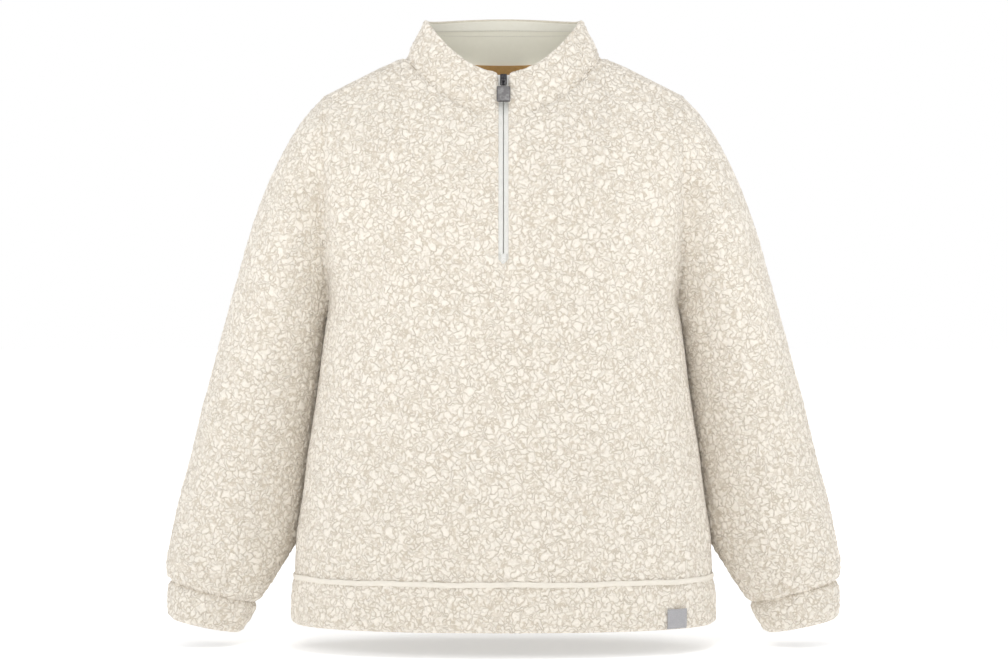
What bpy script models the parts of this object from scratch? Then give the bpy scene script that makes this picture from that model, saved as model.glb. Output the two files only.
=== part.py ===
"""Half-zip pullover in sherpa fleece, filled out as it is worn.

Metres, +Z up. The front faces -Y and the wearer's left is +X. The origin lies between the two points
where the shoulder seams meet the collar. Every cloth piece is a closed wall between an outer skin and
an inner one, and the wall of the fleece reaches as far as its pile does.
"""

import math

import bmesh
import bpy
import numpy as np
from mathutils import Matrix, Vector

# Cloth
FLEECE = 0.0050
FACING = 0.0015
TAPE = 0.0010
LABEL = 0.0010
SEAM = 0.0003
HALF_SEAM = SEAM / 2

# Heights of the seams
HEM_END = -0.678
HEM_SEAM = -0.622
UNDERARM = -0.293
SHOULDER_TIP = -0.048
NECK_FRONT = -0.077
NECK_BACK = -0.014
ZIP_END = -0.251

# Half widths
UNDERARM_X = 0.2112
SHOULDER_TIP_X = 0.2150
NECK_X = 0.1200
ZIP_SLOT = 0.0058

# How square the body's level sections are: 2 is an ellipse
SQUARENESS = 2.3

# Half depths of the armhole
ARMHOLE_FRONT = 0.074
ARMHOLE_BACK = 0.080

# Level sections of the body, from the hem up. Above the underarm the half width is that of the armhole,
# and above the shoulder tip it is that of the shoulder seam.
BODY_COLUMNS = ("z", "half_width", "front", "back")
BODY = (
    (HEM_END, 0.2550, 0.1270, 0.1160),
    (HEM_SEAM, 0.2508, 0.1275, 0.1165),
    (-0.580, 0.2490, 0.1275, 0.1150),
    (-0.538, 0.2424, 0.1272, 0.1130),
    (-0.473, 0.2345, 0.1275, 0.1110),
    (-0.409, 0.2244, 0.1285, 0.1110),
    (-0.334, 0.2154, 0.1295, 0.1140),
    (UNDERARM, UNDERARM_X, 0.1290, 0.1170),
    (-0.200, 0.2126, 0.1230, 0.1210),
    (-0.120, 0.2139, 0.1040, 0.1170),
    (NECK_FRONT, 0.2146, 0.0850, 0.1060),
    (SHOULDER_TIP, SHOULDER_TIP_X, 0.0700, 0.0940),
    (-0.022, 0.1710, 0.0570, 0.0770),
    (0.000, NECK_X, 0.0480, 0.0580),
)

# Rings of one sleeve, from the armhole down. The outer point is over the shoulder, the inner one is
# under the arm, and middle_y is where both lie.
SLEEVE_COLUMNS = ("outer_x", "outer_z", "inner_x", "inner_z", "front", "back", "middle_y")
SLEEVE = (
    (SHOULDER_TIP_X, SHOULDER_TIP, UNDERARM_X, UNDERARM, ARMHOLE_FRONT, ARMHOLE_BACK, 0.000),
    (0.2370, -0.0715, 0.2135, -0.3010, 0.077, 0.082, 0.001),
    (0.2610, -0.1080, 0.2158, -0.3090, 0.079, 0.082, 0.003),
    (0.2850, -0.1570, 0.2175, -0.3190, 0.078, 0.080, 0.006),
    (0.3040, -0.2080, 0.2190, -0.3320, 0.075, 0.077, 0.010),
    (0.3200, -0.2620, 0.2210, -0.3500, 0.072, 0.073, 0.014),
    (0.3350, -0.3140, 0.2235, -0.3750, 0.069, 0.070, 0.018),
    (0.3500, -0.3680, 0.2265, -0.4070, 0.067, 0.067, 0.021),
    (0.3645, -0.4220, 0.2325, -0.4520, 0.065, 0.065, 0.022),
    (0.3785, -0.4800, 0.2405, -0.5090, 0.063, 0.062, 0.021),
    (0.3935, -0.5370, 0.2480, -0.5620, 0.060, 0.058, 0.018),
    (0.4030, -0.5850, 0.2600, -0.6020, 0.054, 0.052, 0.014),
    (0.4068, -0.6080, 0.2745, -0.6270, 0.048, 0.047, 0.012),
    (0.4060, -0.6210, 0.2868, -0.6450, 0.042, 0.041, 0.011),
    (0.4032, -0.6290, 0.2955, -0.6570, 0.037, 0.036, 0.010),
)

# Rings of one cuff, with the sleeve's columns
CUFF = (
    SLEEVE[-1],
    (0.4052, -0.6395, 0.2984, -0.6665, 0.039, 0.038, 0.010),
    (0.4056, -0.6560, 0.3055, -0.6790, 0.038, 0.037, 0.009),
    (0.4044, -0.6690, 0.3115, -0.6880, 0.036, 0.035, 0.009),
    (0.4022, -0.6745, 0.3145, -0.6925, 0.034, 0.033, 0.009),
)

# Level sections of the hem band, with the body's columns. It swells a little below its seam.
BAND = (
    (HEM_END, 0.2535, 0.1262, 0.1155),
    (-0.673, 0.2552, 0.1280, 0.1172),
    (-0.655, 0.2552, 0.1285, 0.1178),
    (-0.634, 0.2536, 0.1288, 0.1178),
    (HEM_SEAM, 0.2508, 0.1275, 0.1165),
)

# The collar leans in from the neck seam to this top edge, and is a little hollow at its sides
COLLAR_TOP_X = 0.0955
COLLAR_TOP_FRONT = 0.0690
COLLAR_TOP_BACK = 0.0600
COLLAR_SIDE_Z = 0.0440
COLLAR_FRONT_Z = -0.0260
COLLAR_BACK_Z = 0.0520
COLLAR_HOLLOW = 0.0020
COLLAR_HEIGHTS = (0.0, 0.16, 0.42, 0.7, 0.9, 1.0)

# How far the neck seam's own direction tips up, in degrees, at the centre and at the sides
NECK_TIP_CENTRE = 20.0
NECK_TIP_SIDE = 48.0

# Zip
TAPE_INNER = 0.0004
TAPE_OUTER = 0.0130
FACING_EDGE = 0.0142
TAPE_END = 0.6
SLIDER_HEIGHT = 0.83
SLIDER_SIZE = (0.0078, 0.0135, 0.0036)
SLIDER_CLEARANCE = 0.0005
SLIDER_EDGE = 0.0009
BAIL_SIZE = (0.0016, 0.0084, 0.0034)
BAIL_HOLE = (0.0054, 0.0022)
BAIL_ROOT = 0.0006
HINGE_DROP = 0.0017
BAIL_EDGE = 0.0005
LINK_WIDTH = 0.0050
LINK_SLOT_WIDTH = 0.0030
LINK_PIN = 0.0012
LINK_LENGTH = 0.0102
LINK_THICKNESS = 0.0013
LINK_LAP = 0.0004
LINK_EDGE = 0.0003
TAB_SIZE = (0.0160, 0.0205, 0.0028)
TAB_START = 0.0092
TAB_EDGE = 0.0011
PULL_TILT = math.radians(6)

# Label on the hem band
LABEL_X = (0.190, 0.213)
LABEL_Z = (-0.6765, -0.6535)
LABEL_LIFT = 0.0009
LABEL_FACES = (4, 3)

# Stitched strip over the hem seam
STRIP_HALF_HEIGHT = 0.0026
STRIP_LIFT = 0.0009
STRIP = 0.0014

# The facing stops this far up the last row of the collar. The tape inside the back neck lies on its
# first row.
FACING_TOP = 0.6
NECK_TAPE_LIFT = 0.0002

# Numbers of faces
NECK_COLUMNS = 7
NECK_TAPE_COLUMNS = 5
SHOULDER_COLUMNS = 5
HALF_COLUMNS = NECK_COLUMNS + SHOULDER_COLUMNS
LOWER_ROWS = 7
UPPER_ROWS = 12
RING_FACES = 24


def lerp(a, b, t):
    return a + (b - a) * t


def unit(v):
    return v / np.linalg.norm(v, axis=-1, keepdims=True)


def smooth(table, columns, by, value, name):
    """The named column where column by has that value, on a smooth curve through the rows."""
    xs = [row[columns.index(by)] for row in table]
    ys = [row[columns.index(name)] for row in table]
    value = min(max(value, xs[0]), xs[-1])
    i = max(k for k in range(len(xs) - 1) if xs[k] <= value)
    width = xs[i + 1] - xs[i]

    def slope(k):
        steps = [(ys[j + 1] - ys[j]) / (xs[j + 1] - xs[j]) for j in (k - 1, k) if 0 <= j < len(xs) - 1]
        if len(steps) == 2 and steps[0] * steps[1] > 0:
            return 2 * steps[0] * steps[1] / (steps[0] + steps[1])
        return 0.0 if len(steps) == 2 else steps[0]

    t = (value - xs[i]) / width
    return (
        ys[i] * (1 + 2 * t) * (1 - t) ** 2
        + ys[i + 1] * t * t * (3 - 2 * t)
        + slope(i) * width * t * (1 - t) ** 2
        - slope(i + 1) * width * t * t * (1 - t)
    )


def body_value(z, name, table=BODY):
    return smooth(table, BODY_COLUMNS, "z", z, name)


def armhole_depth(z, half_depth):
    """How deep the armhole stands open at height z, on one side of the shoulder seam."""
    middle = (SHOULDER_TIP + UNDERARM) / 2
    half_height = (SHOULDER_TIP - UNDERARM) / 2
    return half_depth * math.sqrt(max(0.0, 1 - ((z - middle) / half_height) ** 2))


def depth(x, z, side, table=BODY):
    """How far the body's outer skin lies from the plane of the side seams. side is front or back."""
    full = body_value(z, side, table)
    edge = armhole_depth(z, ARMHOLE_FRONT if side == "front" else ARMHOLE_BACK)
    share = min(1.0, abs(x) / body_value(z, "half_width", table))
    opened = 1 - (edge / full) ** SQUARENESS
    return full * max(0.0, 1 - opened * share**SQUARENESS) ** (1 / SQUARENESS)


def neck_point(angle):
    """A point of the neck seam on the body. Angle 0 is the centre front and pi the centre back."""
    x = NECK_X * math.sin(angle)
    lowest = NECK_FRONT if math.cos(angle) > 0 else NECK_BACK
    z = lowest * math.cos(angle) ** 2
    if math.cos(angle) > 0:
        return np.array((x, -depth(x, z, "front"), z))
    return np.array((x, depth(x, z, "back"), z))


def neck_direction(angle):
    """The way out through the cloth at the neck seam, which the body and the collar share."""
    tip = math.radians(lerp(NECK_TIP_CENTRE, NECK_TIP_SIDE, math.sin(angle) ** 2))
    return np.array((math.sin(angle) * math.cos(tip), -math.cos(angle) * math.cos(tip), math.sin(tip)))


def outward(skin, inside, closed):
    """Unit normals of a grid of points, facing away from the matching points inside."""
    along = np.gradient(skin, axis=0)
    if closed:
        across = np.roll(skin, -1, axis=1) - np.roll(skin, 1, axis=1)
    else:
        across = np.gradient(skin, axis=1)
    normals = unit(np.cross(across, along))
    facing = np.sum(normals * (skin - inside), axis=-1, keepdims=True)
    return np.where(facing < 0, -normals, normals)


def finish(name, mesh, finish_of, metallic=0.0):
    """Links the mesh as one named object with its own material."""
    colour, roughness = finish_of
    bm = bmesh.new()
    bm.from_mesh(mesh)
    bmesh.ops.recalc_face_normals(bm, faces=bm.faces)
    bm.to_mesh(mesh)
    bm.free()
    material = bpy.data.materials.new(name)
    material.use_nodes = True
    shader = material.node_tree.nodes["Principled BSDF"]
    shader.inputs["Base Color"].default_value = (*colour, 1.0)
    shader.inputs["Roughness"].default_value = roughness
    shader.inputs["Metallic"].default_value = metallic
    mesh.materials.clear()
    mesh.materials.append(material)
    obj = bpy.data.objects.new(name, mesh)
    PULLOVER.objects.link(obj)
    return obj


def wall(name, surface, outside, inside, finish_of, closed=False, open_cells=()):
    """One closed wall of cloth, lofted from a surface.

    The surface is a grid of points with the way out through the cloth at each. The wall lies between
    outside and inside, which say how deep below those points its two skins are. open_cells are cells
    of the grid that it leaves out, as at a slot. Each cell is split the same way in every layer, so that
    layers on one surface never meet.
    """
    points, out = surface
    skin = points - outside * out
    lining = points - inside * out
    rows, columns = skin.shape[:2]
    wide = columns if closed else columns - 1
    cells = [(r, c) for r in range(rows - 1) for c in range(wide) if (r, c) not in open_cells]
    count = rows * columns
    faces = []
    edges = {}
    for r, c in cells:
        right = (c + 1) % columns
        loop = [r * columns + c, r * columns + right, (r + 1) * columns + right, (r + 1) * columns + c]
        first = 0 if points[r, c, 0] + points[r, right, 0] > 0 else 1
        for turn in (first, first + 2):
            triangle = [loop[(turn + step) % 4] for step in range(3)]
            faces.append(triangle)
            faces.append([count + v for v in reversed(triangle)])
        for a, b in zip(loop, loop[1:] + loop[:1]):
            edges.setdefault(frozenset((a, b)), []).append((a, b))
    for uses in edges.values():
        if len(uses) == 1:
            a, b = uses[0]
            faces.append([b, a, count + a, count + b])
    both = np.concatenate([skin.reshape(-1, 3), lining.reshape(-1, 3)])
    used = sorted({v for face in faces for v in face})
    place = {v: i for i, v in enumerate(used)}
    mesh = bpy.data.meshes.new(name)
    mesh.from_pydata([tuple(both[v]) for v in used], [], [[place[v] for v in face] for face in faces])
    mesh.shade_smooth()
    mesh.set_sharp_from_angle(angle=math.radians(50))
    return finish(name, mesh, finish_of)


# Colour and roughness of each finish
FLEECE_FINISH = ((0.86, 0.80, 0.71), 0.95)
FACING_FINISH = ((0.80, 0.78, 0.68), 0.80)
STRIP_FINISH = ((0.90, 0.88, 0.82), 0.90)
ZIP_FINISH = ((0.90, 0.90, 0.87), 0.70)
NECK_TAPE_FINISH = ((0.62, 0.40, 0.17), 0.85)
LABEL_FINISH = ((0.42, 0.41, 0.41), 0.70)
SLIDER_FINISH = ((0.08, 0.08, 0.085), 0.35)
PULL_FINISH = ((0.34, 0.33, 0.33), 0.45)


def neck_angles():
    """Where the columns meet the neck seam on one half of the front, from the zip to the shoulder."""
    edge = math.asin(FACING_EDGE / NECK_X)
    rest = [lerp(edge, math.pi / 2, k / (NECK_COLUMNS - 1)) for k in range(NECK_COLUMNS)]
    return [math.asin(ZIP_SLOT / NECK_X)] + rest


def hem_angles():
    """Where the columns meet the hem seam on one half of the front."""
    start = math.asin(ZIP_SLOT / body_value(HEM_SEAM, "half_width"))
    return [lerp(start, math.pi / 2, k / HALF_COLUMNS) for k in range(HALF_COLUMNS + 1)]


def armhole_share(z):
    return (z - UNDERARM) / (SHOULDER_TIP - UNDERARM)


def row_heights():
    """Heights of a panel's rows at its side: even up to the underarm, then spaced round the armhole."""
    lower = [lerp(HEM_SEAM + HALF_SEAM, UNDERARM, k / LOWER_ROWS) for k in range(LOWER_ROWS)]
    turns = [math.pi * k / UPPER_ROWS for k in range(UPPER_ROWS + 1)]
    return lower + [lerp(UNDERARM, SHOULDER_TIP, (1 - math.cos(turn)) / 2) for turn in turns]


def panel_grid(side):
    """Outer points of the front or the back, from the hem seam up and from side to side.

    The top row follows the neck seam and then the shoulder seam. The two middle columns stand a zip
    slot apart, on the back too.
    """
    heights = row_heights()
    low = heights[0]
    hem_width = body_value(low, "half_width")
    neck = neck_angles()
    grid = np.zeros((len(heights), 2 * (HALF_COLUMNS + 1), 3))
    for k, hem_angle in enumerate(hem_angles()):
        if k <= NECK_COLUMNS:
            top = neck_point(neck[k] if side == "front" else math.pi - neck[k])
            top_x, top_z = top[0], top[2] - HALF_SEAM
        else:
            across = math.sin(math.pi / 2 * (k - NECK_COLUMNS) / SHOULDER_COLUMNS)
            top_x = lerp(NECK_X, SHOULDER_TIP_X, across)
            top_z = lerp(0.0, SHOULDER_TIP, across)
        at_side = k == HALF_COLUMNS
        for r, height in enumerate(heights):
            share = (height - low) / (SHOULDER_TIP - low)
            z = lerp(low, top_z, share)
            straight = lerp(hem_width, SHOULDER_TIP_X, share)
            bow = body_value(height, "half_width") - straight
            x = lerp(hem_width * math.sin(hem_angle), top_x, share) + bow * math.sin(hem_angle)
            y = depth(x, z, side)
            if k == 0:
                x = ZIP_SLOT
            elif at_side and height >= UNDERARM:
                x = lerp(UNDERARM_X, SHOULDER_TIP_X, armhole_share(height)) - HALF_SEAM
                y = armhole_depth(height, ARMHOLE_FRONT if side == "front" else ARMHOLE_BACK)
            elif at_side or r == len(heights) - 1 and k >= NECK_COLUMNS:
                y = 0.0
            y = max(HALF_SEAM, y) * (-1 if side == "front" else 1)
            grid[r, HALF_COLUMNS + 1 + k] = (x, y, z)
            grid[r, HALF_COLUMNS - k] = (-x, y, z)
    return grid


def panel_surface(side):
    """A body panel's points and the way out at each, which at its edges lies in the seam."""
    grid = panel_grid(side)
    inside = np.zeros_like(grid)
    inside[..., 2] = np.minimum(grid[..., 2], UNDERARM)
    out = outward(grid, inside, closed=False)
    first = HALF_COLUMNS + 1
    lower = LOWER_ROWS + 1
    out[0, :, 2] = 0.0
    for edge, sign in ((0, -1), (-1, 1)):
        out[:lower, edge] = (sign, 0.0, 0.0)
        out[lower:, edge, 0] = sign * np.maximum(sign * out[lower:, edge, 0], 0.0)
    out[-1, first + NECK_COLUMNS :, 1] = 0.0
    out[-1, : first - NECK_COLUMNS, 1] = 0.0
    for k, angle in enumerate(neck_angles()):
        direction = neck_direction(angle if side == "front" else math.pi - angle)
        if k == NECK_COLUMNS:
            direction[1] = 0.0
        out[-1, first + k] = direction
        out[-1, first - 1 - k] = direction * (-1, 1, 1)
    return grid, unit(out)


def zip_end_row(points):
    """The row of the front where the slot for the zip ends."""
    return int(np.argmin(np.abs(points[:, HALF_COLUMNS, 2] - ZIP_END)))


def front(surface):
    """The front, with its slot for the zip."""
    rows = range(zip_end_row(surface[0]), len(surface[0]) - 1)
    return wall("front", surface, 0, FLEECE, FLEECE_FINISH, open_cells={(r, HALF_COLUMNS) for r in rows})


def ring(row):
    """One ring of a sleeve or cuff on the wearer's left, from under the arm over the front."""
    size = dict(zip(SLEEVE_COLUMNS, row))
    points = []
    for k in range(RING_FACES):
        angle = 2 * math.pi * k / RING_FACES
        share = (1 - math.cos(angle)) / 2
        x = lerp(size["inner_x"], size["outer_x"], share)
        y = size["middle_y"] - size["front" if math.sin(angle) > 0 else "back"] * math.sin(angle)
        z = lerp(size["inner_z"], size["outer_z"], share)
        points.append((x, y, z))
    return points


def ring_normal(row):
    """The way along the tube, down and out, square to a ring's plane."""
    size = dict(zip(SLEEVE_COLUMNS, row))
    return unit(np.array((size["outer_z"] - size["inner_z"], 0.0, size["inner_x"] - size["outer_x"])))


def tube_surface(table, square_start):
    """Points of a sleeve or cuff. The way out at its last ring lies in that ring's plane."""
    points = np.array([ring(row) for row in table])
    out = outward(points, points.mean(axis=1, keepdims=True), closed=True)
    for row in (0, -1) if square_start else (-1,):
        normal = ring_normal(table[row])
        out[row] -= np.outer(out[row] @ normal, normal)
    return points, unit(out)


def on_side(surface, sign):
    """The surface on the wearer's left, or its mirror image on the right."""
    return tuple(part * (sign, 1, 1) for part in surface)


def sleeve(name, sign):
    """A set-in sleeve. Its top ring is the armhole, and its last one the cuff seam."""
    points, out = tube_surface(SLEEVE, square_start=False)
    out[0, :, 0] = np.minimum(out[0, :, 0], 0.0)
    points[0, :, 0] += HALF_SEAM
    points[-1] -= HALF_SEAM * ring_normal(SLEEVE[-1])
    return wall(name, on_side((points, unit(out)), sign), 0, FLEECE, FLEECE_FINISH, closed=True)


def cuff(name, sign):
    """The band at the end of a sleeve."""
    points, out = tube_surface(CUFF, square_start=True)
    points[0] += HALF_SEAM * ring_normal(CUFF[0])
    return wall(name, on_side((points, out), sign), 0, FLEECE, FLEECE_FINISH, closed=True)


def section(z, table):
    """A closed level section of the body, with a point at each of the panels' columns."""
    half_width = body_value(z, "half_width", table)
    half = [half_width * math.sin(angle) for angle in hem_angles()]
    left = [(x, -depth(x, z, "front", table), z) for x in half]
    left += [(x, depth(x, z, "back", table), z) for x in reversed(half[:-1])]
    return left + [(-x, y, z) for x, y, z in reversed(left)]


def hem_band():
    points = np.array([section(row[0], BAND) for row in BAND])
    points[-1, :, 2] -= HALF_SEAM
    out = outward(points, points * (0, 0, 1), closed=True)
    out[0, :, 2] = 0.0
    out[-1, :, 2] = 0.0
    return wall("hem_band", (points, unit(out)), 0, FLEECE, FLEECE_FINISH, closed=True)


def hem_strip():
    """The smooth strip that is stitched over the hem seam."""
    points = np.array([section(HEM_SEAM, BODY)] * 2)
    points[0, :, 2] -= STRIP_HALF_HEIGHT
    points[1, :, 2] += STRIP_HALF_HEIGHT
    out = outward(points, points * (0, 0, 1), closed=True)
    return wall("hem_strip", (points, out), -STRIP_LIFT - STRIP, -STRIP_LIFT, STRIP_FINISH, closed=True)


def collar_point(angle, height):
    """A point of the collar's outer skin, from the neck seam at height 0 to its top edge at 1."""
    base = neck_point(angle)
    front_half = math.cos(angle) > 0
    top_z = lerp(COLLAR_SIDE_Z, COLLAR_FRONT_Z if front_half else COLLAR_BACK_Z, math.cos(angle) ** 2)
    top_y = -math.cos(angle) * (COLLAR_TOP_FRONT if front_half else COLLAR_TOP_BACK)
    top = np.array((COLLAR_TOP_X * math.sin(angle), top_y, top_z))
    hollow = COLLAR_HOLLOW * math.sin(math.pi * height) * math.sin(angle) ** 2
    return lerp(base, top, height) - hollow * np.array((math.sin(angle), 0.0, 0.0))


def collar_angles(height):
    """The collar's columns round the neck, from one front edge to the other.

    They meet the panels' own columns at the neck seam. The first two keep their distance from the
    centre line, so that the edge by the zip and the facing's edge are straight.
    """
    half_width = lerp(NECK_X, COLLAR_TOP_X, height)
    quarter = [math.asin(ZIP_SLOT / half_width), math.asin(FACING_EDGE / half_width)] + neck_angles()[2:]
    half = quarter + [math.pi - angle for angle in reversed(quarter[:-1])]
    return half + [2 * math.pi - angle for angle in reversed(half)]


def collar_surface():
    """The collar's points, from the neck seam up, and the way out at each."""
    rows = [[collar_point(angle, height) for angle in collar_angles(height)] for height in COLLAR_HEIGHTS]
    points = np.array(rows)
    out = outward(points, points * (0, 0, 1), closed=False)
    out[0] = [neck_direction(angle) for angle in collar_angles(0)]
    out[:, (0, -1), 0] = 0.0
    points[0] += HALF_SEAM * unit(points[1] - points[0])
    points[:, 0, 0] = ZIP_SLOT
    points[:, -1, 0] = -ZIP_SLOT
    return points, unit(out)


def between_rows(surface, row, share):
    """One row of a surface, that share of the way from a row to the next."""
    return tuple(lerp(part[row], part[row + 1], share)[None] for part in surface)


def joined(*surfaces):
    """Surfaces with equal columns, one above another."""
    return tuple(np.concatenate(parts) for parts in zip(*surfaces))


def part_of(surface, rows=slice(None), columns=slice(None)):
    return tuple(part[rows, columns] for part in surface)


def collar_facing(collar):
    """The smooth cloth inside the collar, which stops at the zip tapes."""
    top = between_rows(collar, -2, FACING_TOP)
    surface = part_of(joined(part_of(collar, slice(0, -1)), top), columns=slice(1, -1))
    depth_in = FLEECE + SEAM
    return wall("collar_facing", surface, depth_in, depth_in + FACING, FACING_FINISH)


def neck_tape(collar):
    """The tape inside the back neck, just above its seam."""
    columns = slice(2 * NECK_COLUMNS - NECK_TAPE_COLUMNS, 2 * NECK_COLUMNS + NECK_TAPE_COLUMNS + 2)
    surface = part_of(collar, slice(0, 2), columns)
    depth_in = FLEECE + FACING + 2 * SEAM + NECK_TAPE_LIFT
    return wall("neck_tape", surface, depth_in, depth_in + TAPE, NECK_TAPE_FINISH)


def zip_surface(front_panel, collar):
    """The zip tape on the wearer's left: the lining of the front and the collar, drawn to the centre.

    Its three columns are at the centre line, the slot's edge and the tape's outer edge.
    """
    end = zip_end_row(front_panel[0])
    first = HALF_COLUMNS + 1
    lower = joined(between_rows(front_panel, end - 1, TAPE_END), part_of(front_panel, slice(end, -1)))
    upper = joined(part_of(collar, slice(0, -1)), between_rows(collar, -2, FACING_TOP))
    edges = joined(part_of(lower, columns=slice(first, first + 2)), part_of(upper, columns=slice(0, 2)))
    lining = edges[0] - FLEECE * edges[1]
    inner_edge, next_column = lining[:, 0], lining[:, 1]
    share = (TAPE_OUTER - inner_edge[:, 0]) / (next_column[:, 0] - inner_edge[:, 0])
    outer_edge = inner_edge + share[:, None] * (next_column - inner_edge)
    centre = inner_edge.copy()
    centre[:, 0] = TAPE_INNER
    out = edges[1][:, 0] * (0, 1, 1)
    return np.stack([centre, inner_edge, outer_edge], axis=1), np.stack([unit(out)] * 3, axis=1)


def block(size, place):
    """A box as a mesh, size and centre in its own frame."""
    mesh = bpy.data.meshes.new("block")
    bm = bmesh.new()
    bmesh.ops.create_cube(bm, size=1.0, matrix=Matrix.Translation(place) @ Matrix.Diagonal((*size, 1.0)))
    bm.to_mesh(mesh)
    bm.free()
    return mesh


def round_edges(obj, width, segments=2):
    modifier = obj.modifiers.new("rounded edges", "BEVEL")
    modifier.width = width
    modifier.segments = segments
    modifier.limit_method = "ANGLE"


def slider_frame():
    """The slider's own frame on the collar's face: Y down along the zip and Z out of the cloth."""
    above, place, below = (Vector(collar_point(0.0, SLIDER_HEIGHT + step)) for step in (0.1, 0.0, -0.1))
    down = (below - above).normalized()
    out = down.cross((1, 0, 0))
    rotation = Matrix((down.cross(out), down, out)).transposed().to_4x4()
    return Matrix.Translation(place) @ rotation


def metal(name, mesh, matrix, finish_of):
    obj = finish(name, mesh, finish_of, metallic=1.0)
    obj.matrix_world = matrix
    return obj


def shaped_by(obj, name, mesh, operation, matrix):
    """Joins another shape to the object, or cuts it away."""
    other = bpy.data.objects.new(name, mesh)
    other.matrix_world = matrix
    other.hide_render = True
    other.display_type = "WIRE"
    CUTTERS.objects.link(other)
    modifier = obj.modifiers.new(name, "BOOLEAN")
    modifier.operation = operation
    modifier.object = other
    return other


def zip_slider():
    """The slider's body between the fleece edges, with the bail that the pull hangs on.

    Returns the hinge's frame, low in the bail's hole.
    """
    matrix = slider_frame()
    width, length, thick = SLIDER_SIZE
    top = thick - FLEECE - SEAM + SLIDER_CLEARANCE
    hinge = top + BAIL_HOLE[1] / 2
    body = metal("zip_slider", block(SLIDER_SIZE, (0, 0, top - thick / 2)), matrix, SLIDER_FINISH)
    round_edges(body, SLIDER_EDGE)
    bail_size = (BAIL_SIZE[0], BAIL_SIZE[1], BAIL_SIZE[2] + BAIL_ROOT)
    bail_middle = top - BAIL_ROOT + bail_size[2] / 2
    round_edges(shaped_by(body, "bail", block(bail_size, (0, 0, bail_middle)), "UNION", matrix), BAIL_EDGE)
    shaped_by(body, "bail_hole", block((width, *BAIL_HOLE), (0, 0, hinge)), "DIFFERENCE", matrix)
    return matrix @ Matrix.Translation((0, HINGE_DROP, hinge))


def zip_pull(hinge):
    """The tab and the link that joins it to the bail. Its origin is on the hinge."""
    matrix = hinge @ Matrix.Rotation(PULL_TILT, 4, "X")
    pin_end = LINK_PIN / 2
    link_size = (LINK_WIDTH, LINK_LENGTH + pin_end, LINK_THICKNESS)
    pull = metal("zip_pull", block(link_size, (0, (LINK_LENGTH - pin_end) / 2, 0)), matrix, PULL_FINISH)
    slot_size = (LINK_SLOT_WIDTH, TAB_START + LINK_LAP - pin_end, LINK_WIDTH)
    slot_middle = (TAB_START + LINK_LAP + pin_end) / 2
    shaped_by(pull, "link_slot", block(slot_size, (0, slot_middle, 0)), "DIFFERENCE", matrix)
    round_edges(pull, LINK_EDGE, 1)
    tab_middle = (0, TAB_START + TAB_SIZE[1] / 2, TAB_SIZE[2] / 2)
    round_edges(shaped_by(pull, "tab", block(TAB_SIZE, tab_middle), "UNION", matrix), TAB_EDGE)
    return pull


def hem_label():
    """A small blank patch that lies on the hem band."""
    xs = [lerp(*LABEL_X, k / LABEL_FACES[0]) for k in range(LABEL_FACES[0] + 1)]
    heights = [lerp(*LABEL_Z, k / LABEL_FACES[1]) for k in range(LABEL_FACES[1] + 1)]
    points = np.array([[(x, -depth(x, z, "front", BAND), z) for x in xs] for z in heights])
    out = outward(points, points * (0, 0, 1), closed=False)
    return wall("hem_label", (points, out), -LABEL_LIFT - LABEL, -LABEL_LIFT, LABEL_FINISH)


for old in list(bpy.data.objects):
    bpy.data.objects.remove(old)
PULLOVER = bpy.data.collections.new("sherpa_pullover")
CUTTERS = bpy.data.collections.new("cutters")
for collection in (PULLOVER, CUTTERS):
    bpy.context.scene.collection.children.link(collection)

front_surface = panel_surface("front")
collar_skin = collar_surface()
tape_surface = zip_surface(front_surface, collar_skin)
front(front_surface)
wall("back", panel_surface("back"), 0, FLEECE, FLEECE_FINISH)
for side_name, mirror in (("left", 1), ("right", -1)):
    sleeve(f"sleeve_{side_name}", mirror)
    cuff(f"cuff_{side_name}", mirror)
    wall(f"zip_tape_{side_name}", on_side(tape_surface, mirror), SEAM, SEAM + TAPE, ZIP_FINISH)
hem_band()
hem_strip()
wall("collar", collar_skin, 0, FLEECE, FLEECE_FINISH)
collar_facing(collar_skin)
neck_tape(collar_skin)
zip_pull(zip_slider())
hem_label()
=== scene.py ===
"""Looks of a half-zip pullover in sherpa fleece, filled out as it is worn.

Metres, +Z up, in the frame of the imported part. The front faces -Y and the wearer's left is +X. The
origin lies between the two points where the shoulder seams meet the collar.
"""

import logging
import math
from collections.abc import Iterable, Sequence
from dataclasses import dataclass, field
from enum import Enum

import bpy
import numpy as np
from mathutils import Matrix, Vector


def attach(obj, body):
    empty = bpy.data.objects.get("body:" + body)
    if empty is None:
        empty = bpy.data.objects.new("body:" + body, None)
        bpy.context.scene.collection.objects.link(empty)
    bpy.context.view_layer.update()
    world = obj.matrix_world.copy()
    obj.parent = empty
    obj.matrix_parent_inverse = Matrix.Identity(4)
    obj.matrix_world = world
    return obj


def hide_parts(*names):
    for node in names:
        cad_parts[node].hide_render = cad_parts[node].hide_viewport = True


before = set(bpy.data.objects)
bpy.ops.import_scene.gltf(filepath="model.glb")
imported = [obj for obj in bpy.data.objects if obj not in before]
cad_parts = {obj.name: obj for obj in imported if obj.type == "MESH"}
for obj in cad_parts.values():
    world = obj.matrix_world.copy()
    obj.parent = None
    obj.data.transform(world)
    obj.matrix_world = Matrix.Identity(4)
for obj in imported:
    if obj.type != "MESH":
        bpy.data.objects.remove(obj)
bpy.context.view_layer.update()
LOG = logging.getLogger("pullover")

Colour = tuple[float, float, float]
Place = tuple[float, float, float]
Number = float | np.ndarray

# Thicknesses of the cloths, the fleece's at a rolled edge, and the gap between two layers
FLEECE = 0.0050
THINNEST = 0.0012
FACING = 0.0015
TAPE = 0.0010
LABEL = 0.0010
SEAM = 0.0003

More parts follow.
